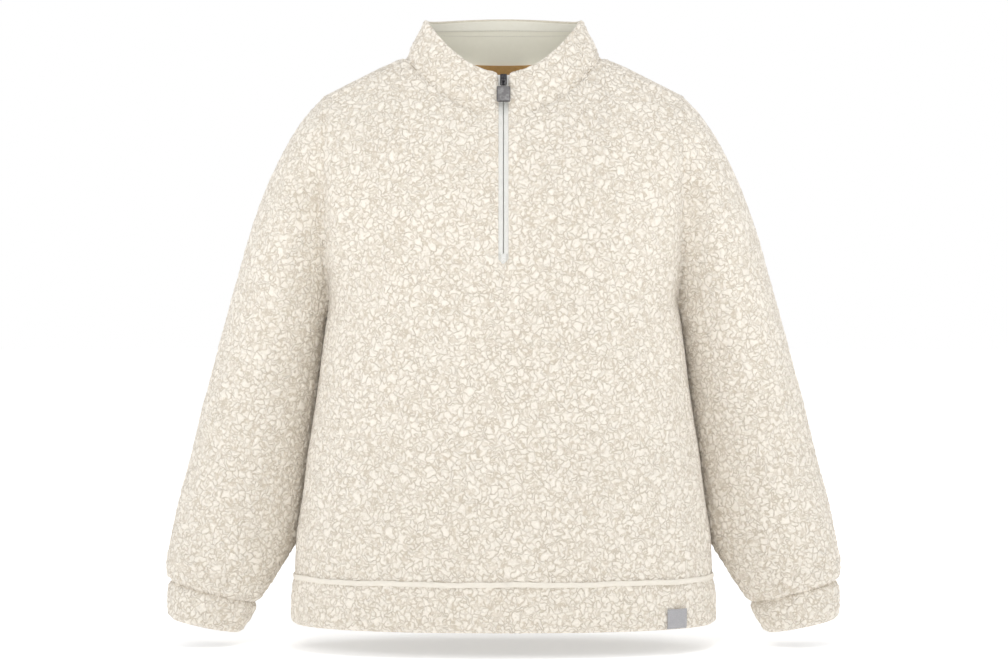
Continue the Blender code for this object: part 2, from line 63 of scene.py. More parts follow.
# Heights of the seams
HEM_SEAM = -0.622
HEM_END = -0.678
UNDERARM = -0.293
SHOULDER_TIP = -0.048
NECK_FRONT = -0.077
NECK_BACK = -0.014
ZIP_END = -0.2514
TAPE_LOW = -0.2614

# Half widths
UNDERARM_X = 0.2112
SHOULDER_TIP_X = 0.2150
NECK_X = 0.1200
ZIP_SLOT = 0.0058
FACING_EDGE = 0.0142

# The body that every piece made here rides on; the zip's pull keeps its own solid and body
GARMENT = "garment"

# An inner skin has one cell for each block of this many cells a side in the outer skin
BLOCK = 3


class Side(Enum):
    """The two body panels, by the way they face along Y."""

    FRONT = -1
    BACK = 1


class Slot(Enum):
    """The material slots of the pieces made here."""

    FLEECE = "fleece"
    FACING = "facing"
    HEM_STRIP = "hem_strip"
    ZIP_TAPE = "zip_tape"
    NECK_TAPE = "neck_tape"
    LABEL = "label"


def lerp(a: Number, b: Number, t: Number) -> Number:
    """The value that share t of the way from a to b."""
    return a + (b - a) * t


def ease(t: np.ndarray) -> np.ndarray:
    """A share that starts and ends softly, and is held between 0 and 1."""
    held = np.clip(t, 0.0, 1.0)
    return held * held * (3 - 2 * held)


def unit(v: np.ndarray) -> np.ndarray:
    """The vectors along the last axis, scaled to length 1."""
    return v / np.maximum(np.linalg.norm(v, axis=-1, keepdims=True), 1e-12)


def curve_through(xs: Sequence[float], ys: np.ndarray, at: Number) -> np.ndarray:
    """Reads a smooth curve through rows of values, which never overshoots them.

    Args:
        xs: Where the rows are, rising.
        ys: The rows, numbers or grids of numbers.
        at: Where to read the curve.

    Returns:
        The values there, with the shape of at and then that of one row.
    """
    xs = np.asarray(xs, float)
    ys = np.asarray(ys, float)
    at = np.clip(np.asarray(at, float), xs[0], xs[-1])
    tail = (1,) * (ys.ndim - 1)
    widths = np.diff(xs).reshape(-1, *tail)
    steps = np.diff(ys, axis=0) / widths
    product = steps[:-1] * steps[1:]
    total = np.where(product > 0, steps[:-1] + steps[1:], 1.0)
    inner = np.where(product > 0, 2 * product / total, 0.0)
    slopes = np.concatenate([steps[:1], inner, steps[-1:]])
    i = np.clip(np.searchsorted(xs, at, side="right") - 1, 0, len(xs) - 2)
    width = (xs[i + 1] - xs[i]).reshape(at.shape + tail)
    t = (at - xs[i]).reshape(at.shape + tail) / width
    return (
        ys[i] * (1 + 2 * t) * (1 - t) ** 2
        + ys[i + 1] * t * t * (3 - 2 * t)
        + slopes[i] * width * t * (1 - t) ** 2
        - slopes[i + 1] * width * t * t * (1 - t)
    )


def distances(grid: np.ndarray) -> np.ndarray:
    """Mean distance of each row of a grid from its first row."""
    steps = np.linalg.norm(np.diff(grid, axis=0), axis=-1).mean(axis=1)
    return np.concatenate([[0.0], np.cumsum(steps)])


def refined(grid: np.ndarray, count: int, closed: bool = False) -> np.ndarray:
    """Puts evenly spaced rows on a smooth surface through a grid of points.

    Args:
        grid: Rows of points.
        count: Number of steps between the first row and the last.
        closed: Whether the last row is followed by the first.

    Returns:
        The finer grid, without a second copy of the first row where it is closed.
    """
    if closed:
        grid = np.concatenate([grid[-2:], grid, grid[:3]])
    along = distances(grid)
    ends = (along[2], along[-3]) if closed else (along[0], along[-1])
    at = np.linspace(*ends, count + 1)
    return curve_through(along, grid, at[:-1] if closed else at)


def across(grid: np.ndarray, count: int, closed: bool = False) -> np.ndarray:
    """The same as refined, for a grid's columns."""
    return refined(grid.swapaxes(0, 1), count, closed).swapaxes(0, 1)


def outward(points: np.ndarray, inside: np.ndarray, closed: bool) -> np.ndarray:
    """Finds the way out through a cloth.

    Args:
        points: Grid of the cloth's outer points.
        inside: Points inside the garment, one for each.
        closed: Whether the columns close on themselves.

    Returns:
        A unit vector for each point.
    """
    along = np.gradient(points, axis=0)
    if closed:
        sideways = np.roll(points, -1, axis=1) - np.roll(points, 1, axis=1)
    else:
        sideways = np.gradient(points, axis=1)
    normals = unit(np.cross(sideways, along))
    facing = np.sum(normals * (points - inside), axis=-1, keepdims=True)
    return np.where(facing < 0, -normals, normals)


@dataclass(frozen=True)
class Level:
    """One level section of the body or the hem band."""

    z: float
    half_width: float
    front: float
    back: float


@dataclass(frozen=True)
class Ring:
    """One ring of a sleeve or cuff. Its outer point is over the shoulder, its inner one under the arm."""

    outer_x: float
    outer_z: float
    inner_x: float
    inner_z: float
    front: float
    back: float
    middle_y: float

    def points(self, faces: int) -> list[Place]:
        """The ring's points on the wearer's left, from under the arm over the front."""
        found = []
        for k in range(faces):
            angle = 2 * math.pi * k / faces
            share = (1 - math.cos(angle)) / 2
            deep = self.front if math.sin(angle) > 0 else self.back
            x = lerp(self.inner_x, self.outer_x, share)
            z = lerp(self.inner_z, self.outer_z, share)
            found.append((x, self.middle_y - deep * math.sin(angle), z))
        return found

    def normal(self) -> np.ndarray:
        """The way along the tube, down and out, square to the ring."""
        return unit(np.array((self.outer_z - self.inner_z, 0.0, self.inner_x - self.outer_x)))


BODY_LEVELS = (
    Level(HEM_END, 0.2550, 0.1270, 0.1160),
    Level(HEM_SEAM, 0.2508, 0.1275, 0.1165),
    Level(-0.580, 0.2490, 0.1275, 0.1150),
    Level(-0.538, 0.2424, 0.1272, 0.1130),
    Level(-0.473, 0.2345, 0.1275, 0.1110),
    Level(-0.409, 0.2244, 0.1285, 0.1110),
    Level(-0.334, 0.2154, 0.1295, 0.1140),
    Level(UNDERARM, UNDERARM_X, 0.1290, 0.1170),
    Level(-0.200, 0.2126, 0.1230, 0.1210),
    Level(-0.120, 0.2139, 0.1040, 0.1170),
    Level(NECK_FRONT, 0.2146, 0.0850, 0.1060),
    Level(SHOULDER_TIP, SHOULDER_TIP_X, 0.0700, 0.0940),
    Level(-0.022, 0.1710, 0.0570, 0.0770),
    Level(0.000, NECK_X, 0.0480, 0.0580),
)

BAND_LEVELS = (
    Level(HEM_END, 0.2535, 0.1262, 0.1155),
    Level(-0.673, 0.2552, 0.1280, 0.1172),
    Level(-0.655, 0.2552, 0.1285, 0.1178),
    Level(-0.634, 0.2536, 0.1288, 0.1178),
    Level(HEM_SEAM, 0.2508, 0.1275, 0.1165),
)

SLEEVE_RINGS = (
    Ring(SHOULDER_TIP_X, SHOULDER_TIP, UNDERARM_X, UNDERARM, 0.074, 0.080, 0.000),
    Ring(0.2370, -0.0715, 0.2135, -0.3010, 0.077, 0.082, 0.001),
    Ring(0.2610, -0.1080, 0.2158, -0.3090, 0.079, 0.082, 0.003),
    Ring(0.2850, -0.1570, 0.2175, -0.3190, 0.078, 0.080, 0.006),
    Ring(0.3040, -0.2080, 0.2190, -0.3320, 0.075, 0.077, 0.010),
    Ring(0.3200, -0.2620, 0.2210, -0.3500, 0.072, 0.073, 0.014),
    Ring(0.3350, -0.3140, 0.2235, -0.3750, 0.069, 0.070, 0.018),
    Ring(0.3500, -0.3680, 0.2265, -0.4070, 0.067, 0.067, 0.021),
    Ring(0.3645, -0.4220, 0.2325, -0.4520, 0.065, 0.065, 0.022),
    Ring(0.3785, -0.4800, 0.2405, -0.5090, 0.063, 0.062, 0.021),
    Ring(0.3935, -0.5370, 0.2480, -0.5620, 0.060, 0.058, 0.018),
    Ring(0.4030, -0.5850, 0.2600, -0.6020, 0.054, 0.052, 0.014),
    Ring(0.4068, -0.6080, 0.2745, -0.6270, 0.048, 0.047, 0.012),
    Ring(0.4060, -0.6210, 0.2868, -0.6450, 0.042, 0.041, 0.011),
    Ring(0.4032, -0.6290, 0.2955, -0.6570, 0.037, 0.036, 0.010),
)

CUFF_RINGS = (
    SLEEVE_RINGS[-1],
    Ring(0.4052, -0.6395, 0.2984, -0.6665, 0.039, 0.038, 0.010),
    Ring(0.4056, -0.6560, 0.3055, -0.6790, 0.038, 0.037, 0.009),
    Ring(0.4044, -0.6690, 0.3115, -0.6880, 0.036, 0.035, 0.009),
    Ring(0.4022, -0.6745, 0.3145, -0.6925, 0.034, 0.033, 0.009),
)


@dataclass(frozen=True)
class BodyForm:
    """The body's outer surface, as level sections between an ellipse and a box.

    Attributes:
        levels: The sections, from the lowest up.
        squareness: How square a section is, where 2 is an ellipse.
        armhole: Half depths of the armhole, at the front and at the back.
    """

    levels: tuple[Level, ...]
    squareness: float = 2.3
    armhole: tuple[float, float] = (0.074, 0.080)

    def value(self, name: str, z: Number) -> np.ndarray:
        """A named size of the section at height z."""
        rows = [getattr(level, name) for level in self.levels]
        return curve_through([level.z for level in self.levels], rows, z)

    def armhole_depth(self, z: Number, side: Side) -> np.ndarray:
        """How deep the armhole stands open at height z, on one side of the shoulder seam."""
        middle = (SHOULDER_TIP + UNDERARM) / 2
        half_height = (SHOULDER_TIP - UNDERARM) / 2
        half_depth = self.armhole[0 if side is Side.FRONT else 1]
        return half_depth * np.sqrt(np.maximum(0.0, 1 - ((z - middle) / half_height) ** 2))

    def depth(self, x: Number, z: Number, side: Side) -> np.ndarray:
        """Finds how far the outer surface lies from the plane of the side seams.

        Args:
            x: Distance from the centre line.
            z: Height.
            side: The front or the back.

        Returns:
            The depth, never below 0.
        """
        full = self.value(side.name.lower(), z)
        edge = self.armhole_depth(z, side)
        share = np.minimum(1.0, np.abs(x) / self.value("half_width", z))
        opened = 1 - (edge / full) ** self.squareness
        left = np.maximum(0.0, 1 - opened * share**self.squareness)
        return full * left ** (1 / self.squareness)

    def neck_point(self, angle: Number) -> np.ndarray:
        """A point of the neck seam. Angle 0 is the centre front and pi the centre back."""
        front_half = np.cos(angle) > 0
        x = NECK_X * np.sin(angle)
        z = np.where(front_half, NECK_FRONT, NECK_BACK) * np.cos(angle) ** 2
        y = np.where(front_half, -self.depth(x, z, Side.FRONT), self.depth(x, z, Side.BACK))
        return np.stack(np.broadcast_arrays(x, y, z), axis=-1)


def neck_direction(angle: Number) -> np.ndarray:
    """The way out through the cloth at the neck seam, which the body and the collar share."""
    tip = np.radians(lerp(20.0, 48.0, np.sin(angle) ** 2))
    return np.stack([np.sin(angle) * np.cos(tip), -np.cos(angle) * np.cos(tip), np.sin(tip)], axis=-1)


BODY = BodyForm(BODY_LEVELS)
BAND = BodyForm(BAND_LEVELS)


@dataclass(frozen=True)
class PanelForm:
    """One body panel: its points follow the neck seam and then the shoulder seam at the top.

    Attributes:
        side: The front or the back.
        half_cells: Cells from the centre to the side, a multiple of BLOCK.
        rows: Cells from the hem to the top, a multiple of BLOCK.
        middle_cells: Cells across the zip slot's width, a multiple of BLOCK.
        neck_columns: Columns of the coarse grid that end on the neck seam.
        shoulder_columns: Columns that end on the shoulder seam.
        lower_rows: Rows below the underarm.
        upper_rows: Rows round the armhole.
    """

    side: Side
    half_cells: int
    rows: int
    middle_cells: int = 6
    neck_columns: int = 7
    shoulder_columns: int = 5
    lower_rows: int = 7
    upper_rows: int = 12

    def heights(self) -> np.ndarray:
        """Heights of the rows at the side: even to the underarm, then spaced round the armhole."""
        lower = np.linspace(HEM_SEAM, UNDERARM, self.lower_rows, endpoint=False)
        turns = np.linspace(0.0, math.pi, self.upper_rows + 1)
        return np.concatenate([lower, lerp(UNDERARM, SHOULDER_TIP, (1 - np.cos(turns)) / 2)])

    def half(self) -> np.ndarray:
        """Points of the wearer's left half, from the slot's edge to the side, a few columns wide."""
        columns = self.neck_columns + self.shoulder_columns
        heights = self.heights()
        low = heights[0]
        hem_width = BODY.value("half_width", low)
        hem_angles = np.linspace(math.asin(ZIP_SLOT / hem_width), math.pi / 2, columns + 1)
        angles = neck_angles()
        neck = BODY.neck_point(angles if self.side is Side.FRONT else math.pi - angles)
        turn = np.sin(math.pi / 2 * np.arange(1, self.shoulder_columns + 1) / self.shoulder_columns)
        top_x = np.concatenate([neck[:, 0], lerp(NECK_X, SHOULDER_TIP_X, turn)])
        top_z = np.concatenate([neck[:, 2], lerp(0.0, SHOULDER_TIP, turn)])
        share = ((heights - low) / (SHOULDER_TIP - low))[:, None]
        bow = BODY.value("half_width", heights)[:, None] - lerp(hem_width, SHOULDER_TIP_X, share)
        z = lerp(low, top_z[None], share)
        x = lerp(hem_width * np.sin(hem_angles)[None], top_x[None], share) + bow * np.sin(hem_angles)[None]
        y = BODY.depth(x, z, self.side)
        x[:, 0] = ZIP_SLOT
        y[:, -1] = 0.0
        above = heights >= UNDERARM
        rise = (heights[above] - UNDERARM) / (SHOULDER_TIP - UNDERARM)
        x[above, -1] = lerp(UNDERARM_X, SHOULDER_TIP_X, rise)
        y[above, -1] = BODY.armhole_depth(heights[above], self.side)
        y[-1, self.neck_columns :] = 0.0
        return np.stack([x, y * self.side.value, z], axis=-1)

    def surface(self) -> tuple[np.ndarray, np.ndarray]:
        """Works out the panel's fine grid.

        Returns:
            The points, and the way out at each, which at the panel's edges lies in the seam.
        """
        half = across(refined(self.half(), self.rows), self.half_cells)
        other = half * (-1, 1, 1)
        shares = np.arange(1, self.middle_cells) / self.middle_cells
        middle = np.stack([lerp(other[:, 0], half[:, 0], share) for share in shares], axis=1)
        grid = np.concatenate([other[:, ::-1], middle, half], axis=1)
        inside = np.zeros_like(grid)
        inside[..., 2] = np.minimum(grid[..., 2], UNDERARM)
        out = outward(grid, inside, closed=False)
        out[0, :, 2] = 0.0
        for edge, sign in ((0, -1), (-1, 1)):
            out[:, edge, 0] = sign * np.maximum(sign * out[:, edge, 0], 0.0)
        reach = np.clip(grid[-1, :, 0] / NECK_X, -1.0, 1.0)
        angles = np.arcsin(reach)
        neck = neck_direction(angles if self.side is Side.FRONT else math.pi - angles)
        on_neck = (np.abs(reach) < 1.0)[:, None]
        out[-1] = np.where(on_neck, neck, out[-1] * (1, 0, 1))
        return grid, unit(out)


def neck_angles() -> np.ndarray:
    """Where the panel's columns meet the neck seam, from the zip to the shoulder."""
    edges = np.linspace(math.asin(FACING_EDGE / NECK_X), math.pi / 2, 7)
    return np.concatenate([[math.asin(ZIP_SLOT / NECK_X)], edges])


def neck_groove(away: np.ndarray, x: np.ndarray) -> np.ndarray:
    """How far cloth is drawn in near the collar's seam, by its distance from the seam and from the zip."""
    return 0.0042 * np.exp(-((away / 0.011) ** 2)) * ease((np.abs(x) - 0.015) / 0.020)


@dataclass(frozen=True)
class CollarForm:
    """The stand collar, from the neck seam to its top edge, open at the zip.

    Attributes:
        top_x: Half width of the top edge.
        top_front: How far forward its centre front lies.
        top_back: How far back its centre back lies.
        side_z: Height of the top edge at the sides.
        front_z: Its height at the centre front.
        back_z: Its height at the centre back.
        hollow: How far the sides are drawn in between seam and edge.
        heights: Shares of its height where the coarse rows lie.
    """

    top_x: float = 0.0955
    top_front: float = 0.0690
    top_back: float = 0.0600
    side_z: float = 0.0440
    front_z: float = -0.0260
    back_z: float = 0.0520
    hollow: float = 0.0020
    heights: tuple[float, ...] = (0.0, 0.16, 0.42, 0.7, 0.9, 1.0)

    def point(self, angle: Number, height: Number) -> np.ndarray:
        """A point of the outer surface, at height 0 on the neck seam and at 1 on the top edge."""
        base = BODY.neck_point(angle)
        front_half = np.cos(angle) > 0
        top = np.stack(
            np.broadcast_arrays(
                self.top_x * np.sin(angle),
                -np.cos(angle) * np.where(front_half, self.top_front, self.top_back),
                lerp(self.side_z, np.where(front_half, self.front_z, self.back_z), np.cos(angle) ** 2),
            ),
            axis=-1,
        )
        drawn = self.hollow * np.sin(math.pi * height) * np.sin(angle) ** 3
        found = lerp(base, top, height)
        found[..., 0] -= drawn
        return found

    def angles(self, height: float) -> np.ndarray:
        """The columns round the neck at one height, from one front edge to the other."""
        half_width = lerp(NECK_X, self.top_x, height)
        edges = [math.asin(ZIP_SLOT / half_width), math.asin(FACING_EDGE / half_width)]
        quarter = np.concatenate([edges, neck_angles()[2:]])
        half = np.concatenate([quarter, math.pi - quarter[-2::-1]])
        return np.concatenate([half, 2 * math.pi - half[::-1]])

    def surface(self, rows: int, columns: int) -> tuple[np.ndarray, np.ndarray]:
        """Works out the collar's fine grid.

        Args:
            rows: Cells from the seam to the top edge.
            columns: Cells round the neck.

        Returns:
            The points, and the way out at each.
        """
        coarse = np.array([self.point(self.angles(height), height) for height in self.heights])
        grid = across(refined(coarse, rows), columns)
        out = outward(grid, grid * (0, 0, 1), closed=False)
        coarse_along, along = distances(coarse.swapaxes(0, 1)), distances(grid.swapaxes(0, 1))
        seam = curve_through(coarse_along, self.angles(0.0), along)
        out[0] = neck_direction(seam)
        out[:, (0, -1), 0] = 0.0
        out = unit(out)
        return grid - neck_groove(distances(grid)[:, None], grid[..., 0])[..., None] * out, out


def tube_surface(rings: Sequence[Ring], rows: int, columns: int, sign: int) -> tuple[np.ndarray, np.ndarray]:
    """Works out the fine grid of a sleeve or cuff.

    Args:
        rings: The rings, from the armhole down.
        rows: Cells along the tube.
        columns: Cells round it.
        sign: 1 for the wearer's left and -1 for the right.

    Returns:
        The points, and the way out at each, which at a cuff seam lies in the ring's plane.
    """
    coarse = np.array([ring.points(24) for ring in rings])
    grid = across(refined(coarse, rows), columns, closed=True)
    out = outward(grid, grid.mean(axis=1, keepdims=True), closed=True)
    if rings[0] is SLEEVE_RINGS[0]:
        out[0, :, 0] = np.minimum(out[0, :, 0], 0.0)
        squared = (-1,)
    else:
        squared = (0, -1)
    for row in squared:
        normal = rings[row].normal()
        out[row] -= np.outer(out[row] @ normal, normal)
    return grid * (sign, 1, 1), unit(out) * (sign, 1, 1)


def band_surface(
    form: BodyForm, heights: Sequence[float], rows: int, columns: int
) -> tuple[np.ndarray, np.ndarray]:
    """Works out the fine grid of a level band round the body.

    Args:
        form: The sections it follows.
        heights: Heights of its own sections, from the lowest up.
        rows: Cells up the band.
        columns: Cells round it.

    Returns:
        The points, and the way out at each, which lies level at both edges.
    """
    angles = np.linspace(math.asin(ZIP_SLOT / BODY.value("half_width", HEM_SEAM)), math.pi / 2, 13)
    sections = []
    for z in heights:
        x = form.value("half_width", z) * np.sin(angles)
        front = np.stack([x, -form.depth(x, z, Side.FRONT), np.full_like(x, z)], axis=-1)
        back = np.stack([x, form.depth(x, z, Side.BACK), np.full_like(x, z)], axis=-1)
        left = np.concatenate([front, back[-2::-1]])
        sections.append(np.concatenate([left, left[::-1] * (-1, 1, 1)]))
    grid = across(refined(np.array(sections), rows), columns, closed=True)
    out = outward(grid, grid * (0, 0, 1), closed=True)
    out[0, :, 2] = 0.0
    out[-1, :, 2] = 0.0
    return grid, unit(out)


@dataclass(frozen=True)
class Crease:
    """A soft trough in the cloth, with a low ridge on each side, as its line is seen from the front or back.

    Attributes:
        start: One end of its line.
        end: The other end.
        depth: Depth at the middle, negative for a ridge.
        width: Half width.
    """

    start: Place
    end: Place
    depth: float
    width: float

    def mirrored(self, depth_share: float, slip: float) -> "Crease":
        """The like crease on the other side, a little shallower and lower."""
        start, end = ((-x, y, z - slip) for x, y, z in (self.start, self.end))
        return Crease(start, end, self.depth * depth_share, self.width)

    def offset(self, points: np.ndarray) -> np.ndarray:
        """How far in the crease takes each point."""
        reach = (points - self.start) * (1, 0, 1)
        line = np.subtract(self.end, self.start) * (1, 0, 1)
        share = np.clip(reach @ line / (line @ line), 0.0, 1.0)
        away = np.linalg.norm(reach - share[..., None] * line, axis=-1) / self.width
        one_side = ease(points[..., 1] * np.sign(self.start[1]) / 0.014)
        taper = np.sin(math.pi * lerp(0.06, 0.94, share)) * one_side
        return self.depth * taper * (np.exp(-(away**2)) - 0.35 * np.exp(-((away - 1.9) ** 2)))


@dataclass(frozen=True)
class Valley:
    """The fold where a sleeve hangs against the body.

    Attributes:
        depth: Its greatest depth.
        body_width: How far it reaches into the body panel.
        sleeve_width: How far it reaches into the sleeve.
        top: Height where it starts, below the shoulder.
        top_fade: How far down from there it takes to reach its full depth.
        low: Height where it has died away, below the underarm.
        low_fade: How far up from there it takes to reach its full depth.
        flat: How close to the plane of the side seams it leaves the cloth alone.
        flat_fade: How far from there it takes to reach its full depth.
    """

    depth: float
    body_width: float
    sleeve_width: float
    top: float = -0.075
    top_fade: float = 0.100
    low: float = UNDERARM - 0.030
    low_fade: float = 0.040
    flat: float = 0.008
    flat_fade: float = 0.025

    def offset(self, points: np.ndarray) -> np.ndarray:
        """How each point moves, in and square to the plane of the side seams."""
        rise = np.clip((points[..., 2] - UNDERARM) / (SHOULDER_TIP - UNDERARM), 0.0, 1.0)
        away = np.abs(points[..., 0]) - lerp(UNDERARM_X, SHOULDER_TIP_X, rise)
        width = np.where(away > 0, self.sleeve_width, self.body_width)
        z = points[..., 2]
        high = ease((self.top - z) / self.top_fade) * ease((z - self.low) / self.low_fade)
        deep = ease((np.abs(points[..., 1]) - self.flat) / self.flat_fade)
        found = np.zeros_like(points)
        found[..., 1] = -np.sign(points[..., 1]) * self.depth * high * deep * np.exp(-((away / width) ** 2))
        return found


@dataclass(frozen=True)
class Roll:
    """How a cloth's outer skin rolls down towards an edge.

    Attributes:
        depth: How deep it lies at the edge.
        radius: How far from the edge it starts.
    """

    depth: float
    radius: float

    def dip(self, distance: np.ndarray) -> np.ndarray:
        """The skin's dip at each distance from the edge."""
        return self.depth * np.clip(1 - distance / self.radius, 0.0, 1.0) ** 2


@dataclass
class Shell:
    """A closed wall of cloth over a grid of points.

    Attributes:
        points: The outer points.
        out: The way out at each.
        closed: Whether the columns close on themselves.
        block: Cells of the outer skin along one cell of the inner skin.
        holes: Blocks of cells that are left out.
        pile: How much of the pile's depth each outer point takes.
    """

    points: np.ndarray
    out: np.ndarray
    closed: bool = False
    block: int = 1
    holes: np.ndarray | None = None
    pile: Number = 1.0

    def cells(self) -> tuple[int, int]:
        """Numbers of cells along the rows and the columns of the outer skin."""
        rows, columns = self.points.shape[:2]
        return rows - 1, columns if self.closed else columns - 1

    def cut(self) -> tuple[float, float, float]:
        """The flat width, length and area of the cloth that this shell shows."""
        points = np.concatenate([self.points, self.points[:, :1]], axis=1) if self.closed else self.points
        steps = np.linalg.norm(np.diff(points, axis=1), axis=-1)
        rises = np.linalg.norm(np.diff(points, axis=0), axis=-1)
        width, length = float(steps.sum(axis=1).max()), float(rises.sum(axis=0).max())
        area = float(np.sum((steps[1:] + steps[:-1]) / 2 * (rises[:, 1:] + rises[:, :-1]) / 2))
        return width, length, min(area, width * length)

    def edge_distance(self, edge: str) -> np.ndarray:
        """How far each point lies from an edge.

        Args:
            edge: The bottom or top row, or the sides.

        Returns:
            The distances, measured along the cloth.
        """
        if edge == "sides":
            along = distances(self.points.swapaxes(0, 1))
            along = np.minimum(along, along[-1] - along)[None]
        else:
            along = distances(self.points)[:, None]
            along = along if edge == "bottom" else along[-1] - along
        return np.broadcast_to(along, self.points.shape[:2])

    def seamed(self, *edges: str, reach: float = 0.0035) -> Number:
        """The pile's share at each point, where it thins to nothing at seams so that two cloths meet."""
        shares = [ease(self.edge_distance(edge) / reach) for edge in edges]
        return np.minimum.reduce(shares) if shares else 1.0

    def faces(self) -> tuple[list[list[int]], int]:
        """Lists the shell's faces.

        Returns:
            The faces: those of the outer skin, then the rims, then the inner skin; and how many of
            them come before the inner skin.
        """
        rows, columns = self.cells()
        step = self.block
        wide = self.points.shape[1]
        kept = np.ones((rows // step, columns // step), bool) if self.holes is None else ~self.holes
        fine = np.argwhere(kept.repeat(step, axis=0).repeat(step, axis=1))
        r, c = fine[:, 0], fine[:, 1]
        right = (c + 1) % wide
        skin = np.stack([r * wide + c, r * wide + right, (r + 1) * wide + right, (r + 1) * wide + c], axis=1)
        first = self.points.shape[0] * wide
        coarse_wide = columns // step if self.closed else columns // step + 1

        def fine_at(place: tuple[float, float]) -> int:
            """Number of an outer point."""
            return int(place[0]) * wide + int(place[1]) % wide

        def coarse_at(place: tuple[int, int]) -> int:
            """Number of an inner point."""
            return first + place[0] * coarse_wide + place[1] % coarse_wide

        lining = []
        edges = {}
        for row, column in np.argwhere(kept).tolist():
            corners = [(row, column), (row, column + 1), (row + 1, column + 1), (row + 1, column)]
            lining.append([coarse_at(corner) for corner in reversed(corners)])
            for a, b in zip(corners, corners[1:] + corners[:1]):
                edges[coarse_at(a), coarse_at(b)] = (a, b)
        rims = []
        for (at_a, at_b), (a, b) in edges.items():
            if (at_b, at_a) not in edges:
                shares = [k / step for k in range(step + 1)]
                run = [[lerp(b[axis], a[axis], share) * step + 0.5 for axis in (0, 1)] for share in shares]
                rims.append([fine_at(place) for place in run] + [at_a, at_b])
        outer = skin.tolist() + rims
        return outer + lining, len(outer)

    def mesh(self, name: str, outside: Number, inside: Number) -> bpy.types.Mesh:
        """Builds the wall as a mesh.

        The points keep where they lay before any dip as the attribute rest, the way out as out, their
        place on the flat cloth as cloth, and whether they are on the outer skin as pile.

        Args:
            name: The mesh's name.
            outside: How deep the outer skin lies below the points.
            inside: How deep the inner skin lies below them.

        Returns:
            The mesh, with material 0 on the outer skin and the rims, and 1 on the inner skin.
        """
        step = self.block
        picked = slice(None, None, step)
        outside = np.broadcast_to(outside, self.points.shape[:2])[..., None]
        inside = np.broadcast_to(inside, self.points.shape[:2])[picked, picked, None]
        skin = self.points - outside * self.out
        lining = self.points[picked, picked] - inside * self.out[picked, picked]
        along = np.zeros_like(self.points)
        along[:, 1:, 0] = np.cumsum(np.linalg.norm(np.diff(self.points, axis=1), axis=-1), axis=1)
        along[..., 0] -= along[:, -1:, 0] / 2
        along[1:, :, 1] = np.cumsum(np.linalg.norm(np.diff(self.points, axis=0), axis=-1), axis=0)
        faces, outer_count = self.faces()
        used = np.zeros(skin.shape[0] * skin.shape[1] + lining.shape[0] * lining.shape[1], bool)
        used[[v for face in faces for v in face]] = True
        place = (np.cumsum(used) - 1).tolist()
        faces = [[place[v] for v in face] for face in faces]

        def both(grid: np.ndarray, other: np.ndarray) -> np.ndarray:
            """The used rows of an outer grid, then those of an inner one."""
            depth = grid.shape[-1]
            return np.concatenate([grid.reshape(-1, depth), other.reshape(-1, depth)])[used]

        mesh = bpy.data.meshes.new(name)
        mesh.from_pydata(both(skin, lining), [], faces)
        mesh.shade_smooth()
        mesh.set_sharp_from_angle(angle=math.radians(65))
        indices = np.zeros(len(faces), np.int32)
        indices[outer_count:] = 1
        mesh.polygons.foreach_set("material_index", indices)
        fields = {"rest": (self.points, self.points), "out": (self.out, self.out), "cloth": (along, along)}
        for key, (grid, other) in fields.items():
            values = both(grid, other[picked, picked]).astype(np.float32)
            mesh.attributes.new(key, "FLOAT_VECTOR", "POINT").data.foreach_set("vector", values.ravel())
        raised = np.broadcast_to(self.pile, skin.shape[:2])[..., None]
        pile = both(raised, np.zeros_like(lining[..., :1])).astype(np.float32)
        mesh.attributes.new("pile", "FLOAT", "POINT").data.foreach_set("value", pile.ravel())
        middle = mesh.polygons[outer_count // 2]
        way = np.zeros(3)
        for v in middle.vertices:
            way += mesh.attributes["out"].data[v].vector
        if Vector(way).dot(middle.normal) < 0:
            mesh.flip_normals()
        return mesh


def declare(obj: bpy.types.Object, stands_for: Iterable[str] = ()) -> None:
    """Puts a piece on the garment.

    Args:
        obj: The piece.
        stands_for: The nodes it replaces.
    """
    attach(obj, GARMENT)
    for node in stands_for:
        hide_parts(node)
    LOG.info("%s: %d vertices", obj.name, len(obj.data.vertices) if obj.type == "MESH" else 0)


def link(name: str, data: bpy.types.ID, *materials: bpy.types.Material) -> bpy.types.Object:
    """Adds an object with these materials to the scene."""
    obj = bpy.data.objects.new(name, data)
    for material in materials:
        data.materials.append(material)
    bpy.context.scene.collection.objects.link(obj)
    return obj


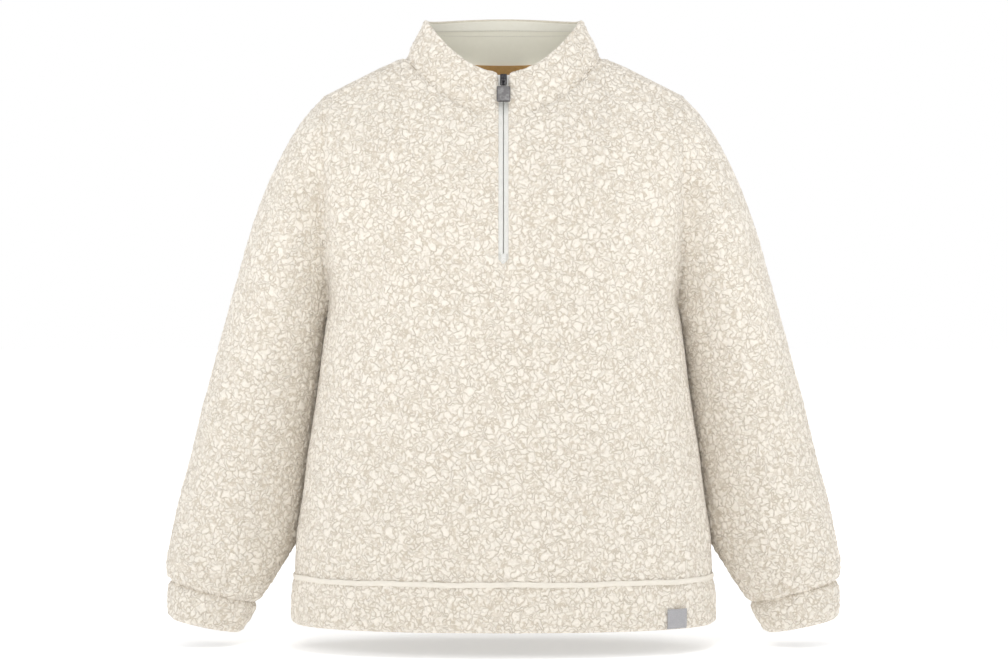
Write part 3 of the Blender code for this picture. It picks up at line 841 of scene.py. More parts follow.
@dataclass
class Nodes:
    """Adds nodes to one tree and links them."""

    tree: bpy.types.NodeTree

    def add(self, kind: str, inputs: dict | None = None, **settings: object) -> bpy.types.Node:
        """Adds a node.

        Args:
            kind: Its type.
            inputs: Values or sockets for its inputs, by name or number.
            **settings: Its own settings.

        Returns:
            The node.
        """
        node = self.tree.nodes.new(kind)
        for name, value in settings.items():
            setattr(node, name, value)
        for key, value in (inputs or {}).items():
            if isinstance(value, bpy.types.NodeSocket):
                self.tree.links.new(value, node.inputs[key])
            else:
                node.inputs[key].default_value = value
        return node

    def math(self, operation: str, *values: object) -> bpy.types.NodeSocket:
        """The result of one sum."""
        return self.add("ShaderNodeMath", dict(enumerate(values)), operation=operation).outputs[0]

    def vector(self, operation: str, *values: object) -> bpy.types.NodeSocket:
        """The result of one sum on vectors."""
        return self.add("ShaderNodeVectorMath", dict(enumerate(values)), operation=operation).outputs[0]

    def scaled(self, place: object, factor: object) -> bpy.types.NodeSocket:
        """A vector times a number."""
        return self.add("ShaderNodeVectorMath", {0: place, "Scale": factor}, operation="SCALE").outputs[0]

    def smooth(self, value: object, low: float, high: float, start: float = 0.0, end: float = 1.0) -> object:
        """A value that goes smoothly from start to end as the input goes from low to high."""
        inputs = {0: value, 1: low, 2: high, 3: start, 4: end}
        return self.add("ShaderNodeMapRange", inputs, interpolation_type="SMOOTHSTEP").outputs[0]

    def noise(self, place: object, size: float, detail: float = 0.0, output: int = 0) -> bpy.types.NodeSocket:
        """Soft noise, whose lumps are about this size, as a number or as a colour."""
        inputs = {"Vector": place, "Scale": 1 / size, "Detail": detail, "Roughness": 0.55}
        return self.add("ShaderNodeTexNoise", inputs).outputs[output]

    def edge_of_cells(self, place: object, size: float) -> bpy.types.NodeSocket:
        """The distance to the nearest border between cells of about this size, in cells."""
        inputs = {"Vector": place, "Scale": 1 / size}
        node = self.add("ShaderNodeTexVoronoi", inputs, feature="DISTANCE_TO_EDGE")
        return node.outputs["Distance"]

    def blend(self, factor: object, a: object, b: object) -> bpy.types.NodeSocket:
        """A colour between a and b."""
        inputs = {0: factor, 6: a, 7: b}
        return self.add("ShaderNodeMix", inputs, data_type="RGBA").outputs[2]

    def attribute(self, name: str) -> bpy.types.Node:
        """One of the mesh's own attributes."""
        return self.add("ShaderNodeAttribute", attribute_name=name)

    def colour(self, shader: bpy.types.Node, factor: object, low: object, high: object) -> None:
        """Gives a shader a base colour between two."""
        self.tree.links.new(self.blend(factor, low, high), shader.inputs["Base Color"])

    def raise_by(self, shader: bpy.types.Node, height: object, strength: float) -> None:
        """Raises a shader's surface by a height in metres."""
        bump = self.add("ShaderNodeBump", {"Height": height, "Distance": 1.0, "Strength": strength})
        self.tree.links.new(bump.outputs[0], shader.inputs["Normal"])


def rgba(colour: Colour) -> tuple[float, float, float, float]:
    """The colour with a full alpha."""
    return (*colour, 1.0)


@dataclass(frozen=True)
class CurlPattern:
    """The pattern of the pile's curls, the same one for the meshes and for the material.

    Attributes:
        curl: Size of a curl.
        bends: Sizes of the bends in a border, and how far each moves it.
        crevice: Share of a curl's size that its rounded edge takes.
        parting_size: Spacing of the partings that split curls.
        parting: How wide a parting is, in the noise's own value.
    """

    curl: float = 0.0087
    bends: tuple[tuple[float, float], ...] = ((0.0100, 0.0120), (0.0050, 0.0085))
    crevice: float = 0.46
    parting_size: float = 0.0105
    parting: float = 0.070

    def height(self, nodes: Nodes, rest: object) -> bpy.types.NodeSocket:
        """Adds the pattern to a tree.

        Args:
            nodes: The tree.
            rest: Socket with the place on the smooth cloth.

        Returns:
            A socket with the height, 0 in a crevice and 1 on a curl's top.
        """
        bent = rest
        for size, reach in self.bends:
            push = nodes.vector("SUBTRACT", nodes.noise(rest, size, output=1), (0.5, 0.5, 0.5))
            bent = nodes.vector("ADD", bent, nodes.scaled(push, reach))
        cell = nodes.math("DIVIDE", nodes.edge_of_cells(bent, self.curl), self.crevice)
        line = nodes.math("ABSOLUTE", nodes.math("SUBTRACT", nodes.noise(rest, self.parting_size), 0.5))
        parted = nodes.math("ADD", nodes.math("DIVIDE", line, self.parting), 0.20)
        near = nodes.math("MINIMUM", nodes.math("SMOOTH_MIN", cell, parted, 0.25), 1.0)
        return nodes.math("MULTIPLY", near, nodes.math("SUBTRACT", 2.0, near))


CURLS = CurlPattern()


class EffectGroup(Enum):
    """The effects that materials share."""

    CURLS = "curled_pile_pattern"
    FIBRES = "fibres"
    WEAVE = "slanting_weave"
    KNIT = "knitted_loops"
    WEAR = "handled_metal"


@dataclass
class Effects:
    """Builds each shared effect once, as a group of shader nodes."""

    built: dict[EffectGroup, bpy.types.NodeTree] = field(default_factory=dict)

    def group(self, effect: EffectGroup) -> bpy.types.NodeTree:
        """The effect's group, built when it is first asked for."""
        if effect not in self.built:
            tree = bpy.data.node_groups.new(effect.value, "ShaderNodeTree")
            getattr(self, effect.name.lower())(tree)
            self.built[effect] = tree
        return self.built[effect]

    def place(self, nodes: Nodes, effect: EffectGroup, inputs: dict) -> bpy.types.Node:
        """Puts an effect in a material.

        Args:
            nodes: The material's tree.
            effect: The effect.
            inputs: Values or sockets for the group's inputs.

        Returns:
            The group's node.
        """
        return nodes.add("ShaderNodeGroup", inputs, node_tree=self.group(effect))

    @staticmethod
    def sockets(tree: bpy.types.NodeTree, inputs: dict[str, str], outputs: Sequence[str]) -> tuple:
        """Gives a group its sockets.

        Args:
            tree: The group.
            inputs: Kinds of the inputs by name, Vector or Float.
            outputs: Names of the outputs, all numbers.

        Returns:
            The group's tree as nodes, its input node and its output node.
        """
        for name, kind in inputs.items():
            tree.interface.new_socket(name, in_out="INPUT", socket_type=f"NodeSocket{kind}")
        for name in outputs:
            tree.interface.new_socket(name, in_out="OUTPUT", socket_type="NodeSocketFloat")
        nodes = Nodes(tree)
        return nodes, nodes.add("NodeGroupInput"), nodes.add("NodeGroupOutput")

    def curls(self, tree: bpy.types.NodeTree) -> None:
        """The pile: curls, the small locks on them, slow changes of shade, and where crevices close, which
        weakens the shade painted into them.
        """
        nodes, given, made = self.sockets(tree, {"Rest": "Vector"}, ("Height", "Locks", "Shade", "Open"))
        rest = given.outputs["Rest"]
        height = CURLS.height(nodes, rest)
        tree.links.new(nodes.smooth(nodes.noise(rest, 0.0062), 0.36, 0.60, 0.62, 1.0), made.inputs["Open"])
        bends = nodes.vector("SUBTRACT", nodes.noise(rest, 0.0030, 1.0, output=1), (0.5, 0.5, 0.5))
        bent = nodes.vector("ADD", rest, nodes.scaled(bends, 0.0036))
        locks = nodes.smooth(nodes.edge_of_cells(bent, 0.0031), 0.0, 0.30)
        shade = nodes.noise(rest, 0.045, 2.0)
        tree.links.new(height, made.inputs["Height"])
        tree.links.new(locks, made.inputs["Locks"])
        tree.links.new(shade, made.inputs["Shade"])

    def fibres(self, tree: bpy.types.NodeTree) -> None:
        """Fine fibres and the faint mottling of dyed yarn."""
        nodes, given, made = self.sockets(tree, {"Place": "Vector"}, ("Fuzz", "Mottle"))
        place = given.outputs["Place"]
        tree.links.new(nodes.noise(place, 0.0007, 2.0), made.inputs["Fuzz"])
        tree.links.new(nodes.noise(place, 0.0060, 3.0), made.inputs["Mottle"])

    def weave(self, tree: bpy.types.NodeTree) -> None:
        """Slanting ribs on the flat cloth, which turn back at each zigzag."""
        inputs = {"Cloth": "Vector", "Pitch": "Float", "Zigzag": "Float"}
        nodes, given, made = self.sockets(tree, inputs, ("Height",))
        parts = nodes.add("ShaderNodeSeparateXYZ", {0: given.outputs["Cloth"]})
        swing = nodes.math("PINGPONG", parts.outputs["X"], given.outputs["Zigzag"])
        slant = nodes.math("DIVIDE", nodes.math("ADD", swing, parts.outputs["Y"]), given.outputs["Pitch"])
        wave = nodes.math("SINE", nodes.math("MULTIPLY", slant, 2 * math.pi))
        lean = nodes.math("SUBTRACT", swing, parts.outputs["Y"])
        threads = nodes.math("DIVIDE", lean, given.outputs["Pitch"])
        cross = nodes.math("SINE", nodes.math("MULTIPLY", threads, 4 * math.pi))
        total = nodes.math("ADD", nodes.math("MULTIPLY", wave, 0.38), nodes.math("MULTIPLY", cross, 0.12))
        tree.links.new(nodes.math("ADD", total, 0.5), made.inputs["Height"])

    def knit(self, tree: bpy.types.NodeTree) -> None:
        """Columns of knitted loops on the flat cloth."""
        inputs = {"Cloth": "Vector", "Pitch": "Float"}
        nodes, given, made = self.sockets(tree, inputs, ("Height",))
        parts = nodes.add("ShaderNodeSeparateXYZ", {0: given.outputs["Cloth"]})
        column = nodes.math("DIVIDE", parts.outputs["X"], given.outputs["Pitch"])
        row = nodes.math("DIVIDE", parts.outputs["Y"], given.outputs["Pitch"])
        lean = nodes.math("PINGPONG", column, 0.5)
        rib = nodes.math("ABSOLUTE", nodes.math("SINE", nodes.math("MULTIPLY", column, math.pi)))
        leaning = nodes.math("ADD", row, nodes.math("MULTIPLY", lean, 0.9))
        loops = nodes.math("MULTIPLY", leaning, 2.6 * math.pi)
        wave = nodes.math("ADD", nodes.math("MULTIPLY", nodes.math("SINE", loops), 0.25), 0.5)
        tree.links.new(nodes.math("MULTIPLY", rib, wave), made.inputs["Height"])

    def wear(self, tree: bpy.types.NodeTree) -> None:
        """Fine scratches and dull patches on handled metal."""
        nodes, given, made = self.sockets(tree, {"Place": "Vector"}, ("Grain", "Patches"))
        place = given.outputs["Place"]
        stretched = nodes.vector("MULTIPLY", place, (3.2, 1.0, 0.6))
        tree.links.new(nodes.noise(stretched, 0.0009, 3.0), made.inputs["Grain"])
        tree.links.new(nodes.noise(place, 0.0048, 3.0), made.inputs["Patches"])


EFFECTS = Effects()


def new_material(
    name: str, roughness: float, **constants: float
) -> tuple[bpy.types.Material, Nodes, bpy.types.Node]:
    """Starts a material.

    Args:
        name: Its name.
        roughness: The shader's roughness.
        **constants: Other inputs of the shader, with spaces written as underscores.

    Returns:
        The material, its tree and its Principled BSDF.
    """
    material = bpy.data.materials.new(name)
    material.use_nodes = True
    shader = material.node_tree.nodes["Principled BSDF"]
    shader.inputs["Roughness"].default_value = roughness
    for key, value in constants.items():
        shader.inputs[key.replace("_", " ")].default_value = value
    return material, Nodes(material.node_tree), shader


@dataclass(frozen=True)
class FleeceFinish:
    """Deep curly pile on the outside of the fleece, with shade painted into the crevices between its curls.
    """

    top: Colour = (0.930, 0.872, 0.778)
    # crevice is painted shade: the pile's colour where shade falls deep between curls
    crevice: Colour = (0.640, 0.565, 0.460)
    shaded: Colour = (0.916, 0.855, 0.759)
    fibre_bump: float = 0.00040
    curl_bump: float = 0.0013

    def material(self) -> bpy.types.Material:
        """Builds the material, which takes its pattern from where the cloth lay at rest."""
        material, nodes, shader = new_material("fleece_pile", 0.95, Sheen_Weight=0.25, Sheen_Roughness=0.6)
        rest = nodes.attribute("rest").outputs["Vector"]
        curls = EFFECTS.place(nodes, EffectGroup.CURLS, {"Rest": rest})
        fibres = EFFECTS.place(nodes, EffectGroup.FIBRES, {"Place": rest})
        # Painted shade: the colour darkens from each curl's top into the crevices round it, as Open allows,
        # and a little at the edges of the small locks
        crevice_painted_shade = nodes.math("SUBTRACT", 1.0, nodes.smooth(curls.outputs["Height"], 0.0, 0.72))
        lit = nodes.math("SUBTRACT", 1.0, nodes.math("MULTIPLY", crevice_painted_shade, curls.outputs["Open"]))
        locks = nodes.smooth(curls.outputs["Locks"], 0.0, 0.5, 0.90, 1.0)
        share_outside_painted_shade = nodes.math("MULTIPLY", lit, locks)
        shade = nodes.smooth(curls.outputs["Shade"], 0.35, 0.65)
        tone = nodes.blend(shade, rgba(self.shaded), rgba(self.top))
        softened = nodes.blend(nodes.smooth(fibres.outputs["Mottle"], 0.3, 0.7), tone, rgba(self.top))
        nodes.colour(shader, share_outside_painted_shade, rgba(self.crevice), softened)
        deep = nodes.math("MULTIPLY", curls.outputs["Height"], self.curl_bump)
        fine = nodes.math("MULTIPLY", curls.outputs["Locks"], self.fibre_bump)
        fuzz = nodes.math("MULTIPLY", fibres.outputs["Fuzz"], self.fibre_bump)
        total = nodes.math("ADD", deep, nodes.math("ADD", fine, fuzz))
        nodes.raise_by(shader, total, 0.9)
        return material


@dataclass(frozen=True)
class KnitFinish:
    """Smooth knitted cloth, such as the fleece's back or the collar's facing, with shade painted into the
    grooves between its loops.
    """

    name: str
    colour: Colour
    # groove is painted shade: the colour in the hollows between the knitted loops
    groove: Colour
    pitch: float
    bump: float = 0.00025
    roughness: float = 0.85
    sheen: float = 0.2

    def material(self) -> bpy.types.Material:
        """Builds the material."""
        material, nodes, shader = new_material(self.name, self.roughness, Sheen_Weight=self.sheen)
        cloth = nodes.attribute("cloth").outputs["Vector"]
        rest = nodes.attribute("rest").outputs["Vector"]
        knit = EFFECTS.place(nodes, EffectGroup.KNIT, {"Cloth": cloth, "Pitch": self.pitch})
        fibres = EFFECTS.place(nodes, EffectGroup.FIBRES, {"Place": rest})
        tone = nodes.smooth(fibres.outputs["Mottle"], 0.3, 0.7, 0.55, 1.0)
        # Painted shade in the grooves, mixed with the yarn's own mottling
        groove_shade_and_mottle = nodes.math("MULTIPLY", nodes.smooth(knit.outputs["Height"], 0.0, 0.5), tone)
        nodes.colour(shader, groove_shade_and_mottle, rgba(self.groove), rgba(self.colour))
        fuzz = nodes.math("MULTIPLY", fibres.outputs["Fuzz"], 0.6)
        height = nodes.math("ADD", knit.outputs["Height"], fuzz)
        scaled = nodes.math("MULTIPLY", height, self.bump)
        nodes.raise_by(shader, scaled, 0.8)
        return material


@dataclass(frozen=True)
class WovenFinish:
    """A woven tape or patch, with slanting ribs or a herringbone, and shade painted into the grooves between
    its ribs.
    """

    name: str
    colour: Colour
    # groove is painted shade: the colour in the hollows between the woven ribs
    groove: Colour
    pitch: float
    zigzag: float
    bump: float = 0.00018
    roughness: float = 0.75
    sheen: float = 0.1

    def material(self) -> bpy.types.Material:
        """Builds the material."""
        material, nodes, shader = new_material(self.name, self.roughness, Sheen_Weight=self.sheen)
        cloth = nodes.attribute("cloth").outputs["Vector"]
        inputs = {"Cloth": cloth, "Pitch": self.pitch, "Zigzag": self.zigzag}
        weave = EFFECTS.place(nodes, EffectGroup.WEAVE, inputs)
        fibres = EFFECTS.place(nodes, EffectGroup.FIBRES, {"Place": cloth})
        tone = nodes.smooth(fibres.outputs["Mottle"], 0.3, 0.7, 0.6, 1.0)
        # Painted shade in the grooves, mixed with the yarn's own mottling
        groove_shade_and_mottle = nodes.math("MULTIPLY", nodes.smooth(weave.outputs["Height"], 0.1, 0.7), tone)
        nodes.colour(shader, groove_shade_and_mottle, rgba(self.groove), rgba(self.colour))
        scaled = nodes.math("MULTIPLY", weave.outputs["Height"], self.bump)
        nodes.raise_by(shader, scaled, 0.8)
        return material


@dataclass(frozen=True)
class MetalFinish:
    """Plated or cast metal that hands have dulled."""

    name: str
    colour: Colour
    worn: Colour
    roughness: tuple[float, float]

    def material(self) -> bpy.types.Material:
        """Builds the material."""
        material, nodes, shader = new_material(self.name, self.roughness[0], Metallic=1.0)
        place = nodes.add("ShaderNodeTexCoord").outputs["Object"]
        wear = EFFECTS.place(nodes, EffectGroup.WEAR, {"Place": place})
        patches = nodes.smooth(wear.outputs["Patches"], 0.42, 0.66)
        nodes.colour(shader, patches, rgba(self.colour), rgba(self.worn))
        rough = nodes.smooth(wear.outputs["Grain"], 0.3, 0.7, *self.roughness)
        nodes.tree.links.new(rough, shader.inputs["Roughness"])
        scaled = nodes.math("MULTIPLY", wear.outputs["Grain"], 0.00006)
        nodes.raise_by(shader, scaled, 0.7)
        return material


@dataclass(frozen=True)
class ThreadFinish:
    """Sewing thread, or the plastic of the zip's coil."""

    name: str
    colour: Colour
    roughness: float = 0.6

    def material(self) -> bpy.types.Material:
        """Builds the material, with the yarn's faint mottling."""
        material, nodes, shader = new_material(self.name, self.roughness)
        place = nodes.add("ShaderNodeTexCoord").outputs["Object"]
        fibres = EFFECTS.place(nodes, EffectGroup.FIBRES, {"Place": place})
        darker = tuple(0.7 * part for part in self.colour)
        tone = nodes.smooth(fibres.outputs["Fuzz"], 0.3, 0.7)
        nodes.colour(shader, tone, rgba(darker), rgba(self.colour))
        return material


@dataclass(frozen=True)
class Stitching:
    """Short rounded stitches along a line.

    Attributes:
        length: Length of a stitch.
        gap: Gap between two.
        radius: Half the thread's thickness.
        sides: Faces round the thread.
        profile: Share of the radius at each ring along a stitch.
    """

    length: float = 0.0027
    gap: float = 0.0008
    radius: float = 0.00028
    sides: int = 6
    profile: tuple[float, ...] = (0.35, 0.85, 1.0, 0.85, 0.35)

    def along(self, name: str, lines: Iterable[tuple[np.ndarray, np.ndarray]],
              material: bpy.types.Material) -> bpy.types.Object:
        """Sews some lines.

        Args:
            name: The piece's name.
            lines: Points of each line, on the cloth, and the way out of the cloth at each.
            material: The thread's finish.

        Returns:
            All the stitches as one object.
        """
        verts, faces = [], []
        for path, out in lines:
            self.sew(path, out, verts, faces)
        mesh = bpy.data.meshes.new(name)
        mesh.from_pydata(verts, [], faces)
        mesh.shade_smooth()
        return link(name, mesh, material)

    def sew(self, path: np.ndarray, out: np.ndarray, verts: list, faces: list) -> None:
        """Adds one line's stitches.

        Args:
            path: Points of the line.
            out: The way out of the cloth at each.
            verts: The points so far.
            faces: The faces so far.
        """
        steps = np.linalg.norm(np.diff(path, axis=0), axis=-1)
        along = np.concatenate([[0.0], np.cumsum(steps)])
        pitch = self.length + self.gap
        count = int((along[-1] + self.gap) // pitch)
        for k in range(count):
            begin = (along[-1] - count * pitch + self.gap) / 2 + k * pitch
            at = begin + np.linspace(0.0, self.length, len(self.profile))
            middle = np.stack([np.interp(at, along, path[:, i]) for i in range(3)], axis=-1)
            up = unit(np.stack([np.interp(at, along, out[:, i]) for i in range(3)], axis=-1))
            side = unit(np.cross(np.gradient(middle, axis=0), up))
            start = len(verts)
            for m, u, s, share in zip(middle, up, side, self.profile):
                for turn in np.arange(self.sides) * 2 * math.pi / self.sides:
                    reach = self.radius * share
                    verts.append(m + reach * (s * 1.25 * math.cos(turn) + u * math.sin(turn)))
            for ring in range(len(self.profile) - 1):
                for side_at in range(self.sides):
                    low, after = start + ring * self.sides, (side_at + 1) % self.sides
                    high = low + self.sides
                    faces.append([low + side_at, low + after, high + after, high + side_at])
            last = start + (len(self.profile) - 1) * self.sides
            faces.append([start + i for i in reversed(range(self.sides))])
            faces.append([last + i for i in range(self.sides)])


@dataclass
class PileMaker:
    """Turns a smooth shell of fleece into curled pile.

    Attributes:
        finish: The pile's material.
        backing: The material of the cloth's knitted back.
        depth: How deep the crevices between curls are.
    """

    finish: bpy.types.Material
    backing: bpy.types.Material
    depth: float = 0.0016

    def tree(self) -> bpy.types.NodeTree:
        """The geometry nodes that press the crevices in, from the pattern that the material uses."""
        name = "curled_pile"
        if name in bpy.data.node_groups:
            return bpy.data.node_groups[name]
        tree = bpy.data.node_groups.new(name, "GeometryNodeTree")
        for way in ("INPUT", "OUTPUT"):
            tree.interface.new_socket("Geometry", in_out=way, socket_type="NodeSocketGeometry")
        nodes = Nodes(tree)

        def named(attribute: str, kind: str) -> bpy.types.NodeSocket:
            """A socket with one of the mesh's attributes."""
            node = nodes.add("GeometryNodeInputNamedAttribute", {"Name": attribute}, data_type=kind)
            return node.outputs["Attribute"]

        height = CURLS.height(nodes, named("rest", "FLOAT_VECTOR"))
        low = nodes.math("MULTIPLY", nodes.math("SUBTRACT", height, 1.0), named("pile", "FLOAT"))
        move = nodes.scaled(named("out", "FLOAT_VECTOR"), nodes.math("MULTIPLY", low, self.depth))
        given = nodes.add("NodeGroupInput")
        moved = nodes.add("GeometryNodeSetPosition", {"Geometry": given.outputs[0], "Offset": move})
        nodes.add("NodeGroupOutput", {0: moved.outputs[0]})
        return tree

    def piece(self, name: str, node: str, shell: Shell, rolls: Iterable[tuple[str, Roll]], dip: Number = 0.0,
              with_pieces: Iterable[bpy.types.Object] = ()) -> bpy.types.Object:
        """Args:
            name: The piece's name.
            node: The node it stands for.
            shell: Its grid.
            rolls: The edges where its skin rolls down, with how.
            dip: A further dip at each point.
            with_pieces: Small pieces that go with it. Not used.

        Returns:
            The piece.
        """
        total = np.broadcast_to(dip, shell.points.shape[:2]).copy()
        for edge, roll in rolls:
            total += roll.dip(shell.edge_distance(edge))
        skin = shell.mesh(name, np.minimum(total, FLEECE - THINNEST), FLEECE)
        obj = link(name, skin, self.finish, self.backing)
        modifier = obj.modifiers.new("pile", "NODES")
        modifier.node_group = self.tree()
        bpy.context.view_layer.update()
        graph = bpy.context.evaluated_depsgraph_get()
        pressed = obj.evaluated_get(graph)
        mesh = bpy.data.meshes.new_from_object(pressed, preserve_all_data_layers=True, depsgraph=graph)
        obj.modifiers.remove(modifier)
        obj.data = mesh
        declare(obj, stands_for=[node])
        return obj


@dataclass
class FleeceBody:
    """The front, the back, the sleeves and the cuffs.

    Attributes:
        maker: What curls the fleece.
        front: The front panel's form.
        back: The back panel's form.
        sleeve_cells: Cells along and round a sleeve.
        cuff_cells: Cells along and round a cuff.
        hem_seam: How a panel rolls down at the hem seam.
        allowance: Rows of the sleeve's seam allowance: how far under the body each lies, and how deep.
        valley: The fold between a sleeve and the body.
        slot_edge: How the front rolls down at the zip slot.
        cuff_seam: How a sleeve and a cuff roll down where they meet.
        free_edge: How a cuff rolls down at its open end.
        body_fades: The panels' sewn edges, with how far from each the creases fade.
        sleeve_fades: The same for a sleeve.
        lean: How far a sleeve's inner side moves against the body, and how much more higher up.
        lean_back: How far back its inner side moves, so that it goes behind the body's side.
        lean_from: Heights where the lean starts under the arm and ends above the cuff.
        body_creases: Creases of the wearer's left half of the panels.
        sleeve_creases: Creases of the left sleeve.
        right_puckers: Small creases over the right cuff.
        left_puckers: Small creases over the left cuff.
    """

    maker: PileMaker
    front: PanelForm = PanelForm(Side.FRONT, 141, 276)
    back: PanelForm = PanelForm(Side.BACK, 117, 231)
    sleeve_cells: tuple[int, int] = (264, 192)
    cuff_cells: tuple[int, int] = (24, 132)
    hem_seam: Roll = Roll(0.0010, 0.0070)
    allowance: tuple[tuple[float, float], ...] = ((0.0070, 0.0042), (0.0045, 0.0036), (0.0020, 0.0026))
    valley: Valley = Valley(0.0150, 0.0075, 0.034)
    slot_edge: Roll = Roll(0.0030, 0.0045)
    cuff_seam: Roll = Roll(0.0038, 0.0065)
    free_edge: Roll = Roll(0.0028, 0.0045)
    body_fades: tuple[tuple[str, float], ...] = (("sides", 0.014), ("bottom", 0.010), ("top", 0.010))
    sleeve_fades: tuple[tuple[str, float], ...] = (("bottom", 0.014), ("top", 0.006))
    lean: tuple[float, float] = (0.0062, 0.0020)
    lean_back: float = 0.0110
    lean_from: tuple[float, float] = (-0.290, -0.612)
    body_creases: tuple[Crease, ...] = (
        Crease((0.206, -0.060, -0.305), (0.150, -0.112, -0.352), 0.0030, 0.014),
        Crease((0.205, -0.050, -0.335), (0.165, -0.100, -0.392), 0.0022, 0.013),
        Crease((0.248, -0.040, -0.560), (0.205, -0.085, -0.535), 0.0024, 0.012),
        Crease((0.205, 0.070, -0.310), (0.150, 0.105, -0.360), 0.0030, 0.017),
        Crease((0.215, 0.060, -0.410), (0.150, 0.100, -0.440), 0.0026, 0.016),
        Crease((0.246, 0.040, -0.555), (0.190, 0.085, -0.530), 0.0026, 0.013),
    )
    sleeve_creases: tuple[Crease, ...] = (
        Crease((0.360, -0.055, -0.395), (0.290, -0.052, -0.425), 0.0030, 0.013),
        Crease((0.372, -0.050, -0.455), (0.310, -0.055, -0.470), 0.0022, 0.012),
        Crease((0.262, -0.030, -0.585), (0.318, -0.055, -0.560), 0.0026, 0.009),
        Crease((0.402, -0.020, -0.603), (0.350, -0.052, -0.615), 0.0032, 0.006),
        Crease((0.225, 0.030, -0.330), (0.290, 0.085, -0.290), 0.0026, 0.014),
        Crease((0.250, 0.060, -0.420), (0.340, 0.080, -0.385), 0.0028, 0.015),
        Crease((0.255, 0.060, -0.455), (0.350, 0.075, -0.440), 0.0026, 0.012),
        Crease((0.270, 0.050, -0.610), (0.330, 0.060, -0.585), 0.0028, 0.009),
    )
    right_puckers: tuple[Crease, ...] = (
        Crease((-0.362, -0.045, -0.596), (-0.340, -0.045, -0.634), 0.0040, 0.0050),
        Crease((-0.345, -0.045, -0.606), (-0.326, -0.045, -0.638), 0.0034, 0.005),
        Crease((-0.318, -0.045, -0.612), (-0.338, -0.045, -0.642), 0.0032, 0.005),
    )
    left_puckers: tuple[Crease, ...] = (
        Crease((0.318, -0.045, -0.625), (0.340, -0.045, -0.640), 0.0036, 0.005),
        Crease((0.372, -0.045, -0.612), (0.358, -0.045, -0.636), 0.0028, 0.005),
    )

    def creases(self, of: tuple[Crease, ...]) -> tuple[Crease, ...]:
        """The creases on the wearer's left, and like ones on the right."""
        return of + tuple(crease.mirrored(0.85, 0.006) for crease in of)

    def creased(
        self, shell: Shell, fades: tuple[tuple[str, float], ...], creases: tuple[Crease, ...]
    ) -> None:
        """Presses the creases and the valley at the armhole into a grid.

        Args:
            shell: The grid.
            fades: Its sewn edges, with how far from each the creases fade.
            creases: The creases.
        """
        total = sum(crease.offset(shell.points) for crease in creases)
        for edge, reach in fades:
            total = total * ease(shell.edge_distance(edge) / reach)
        shell.points = shell.points - total[..., None] * shell.out + self.valley.offset(shell.points)

    def necked(self, shell: Shell) -> None:
        """Draws the panel in along the collar's seam, as the collar is drawn in."""
        away = shell.edge_distance("top")
        on_neck = ease((0.150 - np.abs(shell.points[-1:, :, 0])) / 0.030)
        groove = neck_groove(away, shell.points[..., 0]) * on_neck
        shell.points = shell.points - groove[..., None] * shell.out

    def leaned(self, grid: np.ndarray, sign: int) -> np.ndarray:
        """Brings the inner side of a sleeve against the body, under which it tucks a little."""
        rows, columns = grid.shape[:2]
        z = grid[:, :1, 2]
        turn = np.arange(columns) * 2 * math.pi / columns
        inner = (((1 + np.cos(turn)) / 2) ** 3)[None]
        start, end = self.lean_from
        high = ease((start - z) / 0.012) * ease((z - end) / 0.040)
        near, more = self.lean
        moved = grid.copy()
        moved[..., 0] -= sign * (near + more * ease((z + 0.45) / 0.1)) * high * inner
        moved[..., 1] += self.lean_back * high * inner
        return moved

    def panel(self, form: PanelForm) -> bpy.types.Object:
        """Makes the front or the back."""
        grid, out = form.surface()
        shell = Shell(grid, out, block=BLOCK)
        self.creased(shell, self.body_fades, self.creases(self.body_creases))
        self.necked(shell)
        shell.pile = shell.seamed("sides", "top", "bottom")
        dip = 0.0
        rolls = [("bottom", self.hem_seam)]
        if form.side is Side.FRONT:
            low = int(round(np.argmin(np.abs(grid[:, form.half_cells, 2] - ZIP_END - 0.0035)) / BLOCK))
            across_panel = 2 * form.half_cells + form.middle_cells
            shell.holes = np.zeros((form.rows // BLOCK, across_panel // BLOCK), bool)
            first = form.half_cells // BLOCK
            shell.holes[low:, first : first + form.middle_cells // BLOCK] = True
            slot_z = grid[low * BLOCK, form.half_cells, 2]
            beside = np.maximum(0.0, np.abs(grid[..., 0]) - ZIP_SLOT)
            below = np.maximum(0.0, slot_z - grid[..., 2])
            dip = self.slot_edge.dip(np.hypot(beside, below))
            bulge = np.sqrt(np.maximum(0.0, ZIP_SLOT**2 - grid[..., 0] ** 2))
            lowered = bulge * ease(1 - below / 0.020)
            shell.points[..., 2] -= np.where(grid[..., 2] > slot_z + 0.0001, 0.0, lowered)
        name = form.side.name.lower()
        return self.maker.piece(f"{name}_fleece", name, shell, rolls, dip)

    def sleeve(self, side: str, sign: int) -> None:
        """Makes one sleeve and its cuff."""
        grid, out = tube_surface(SLEEVE_RINGS, *self.sleeve_cells, sign)
        shell = Shell(self.leaned(grid, sign), out, closed=True, block=BLOCK)
        puckers = self.left_puckers if sign > 0 else self.right_puckers
        self.creased(shell, self.sleeve_fades, self.creases(self.sleeve_creases) + puckers)
        pile = shell.seamed("bottom", "top")
        turned = [shell.points[0] - (sign * x, 0, 0) - depth * out[0] for x, depth in self.allowance]
        shell.points = np.concatenate([turned, shell.points])
        shell.out = np.concatenate([out[:1]] * len(turned) + [out])
        shell.pile = np.concatenate([pile[:1]] * len(turned) + [pile])
        self.maker.piece(f"sleeve_{side}_fleece", f"sleeve_{side}", shell, [("top", self.cuff_seam)])
        grid, out = tube_surface(CUFF_RINGS, *self.cuff_cells, sign)
        cuff = Shell(grid, out, closed=True, block=BLOCK)
        cuff.pile = cuff.seamed("bottom")
        rolls = [("bottom", self.cuff_seam), ("top", self.free_edge)]
        self.maker.piece(f"cuff_{side}_fleece", f"cuff_{side}", cuff, rolls)

    def build(self) -> None:
        """Makes all the pieces."""
        self.panel(self.front)
        self.panel(self.back)
        self.sleeve("left", 1)
        self.sleeve("right", -1)


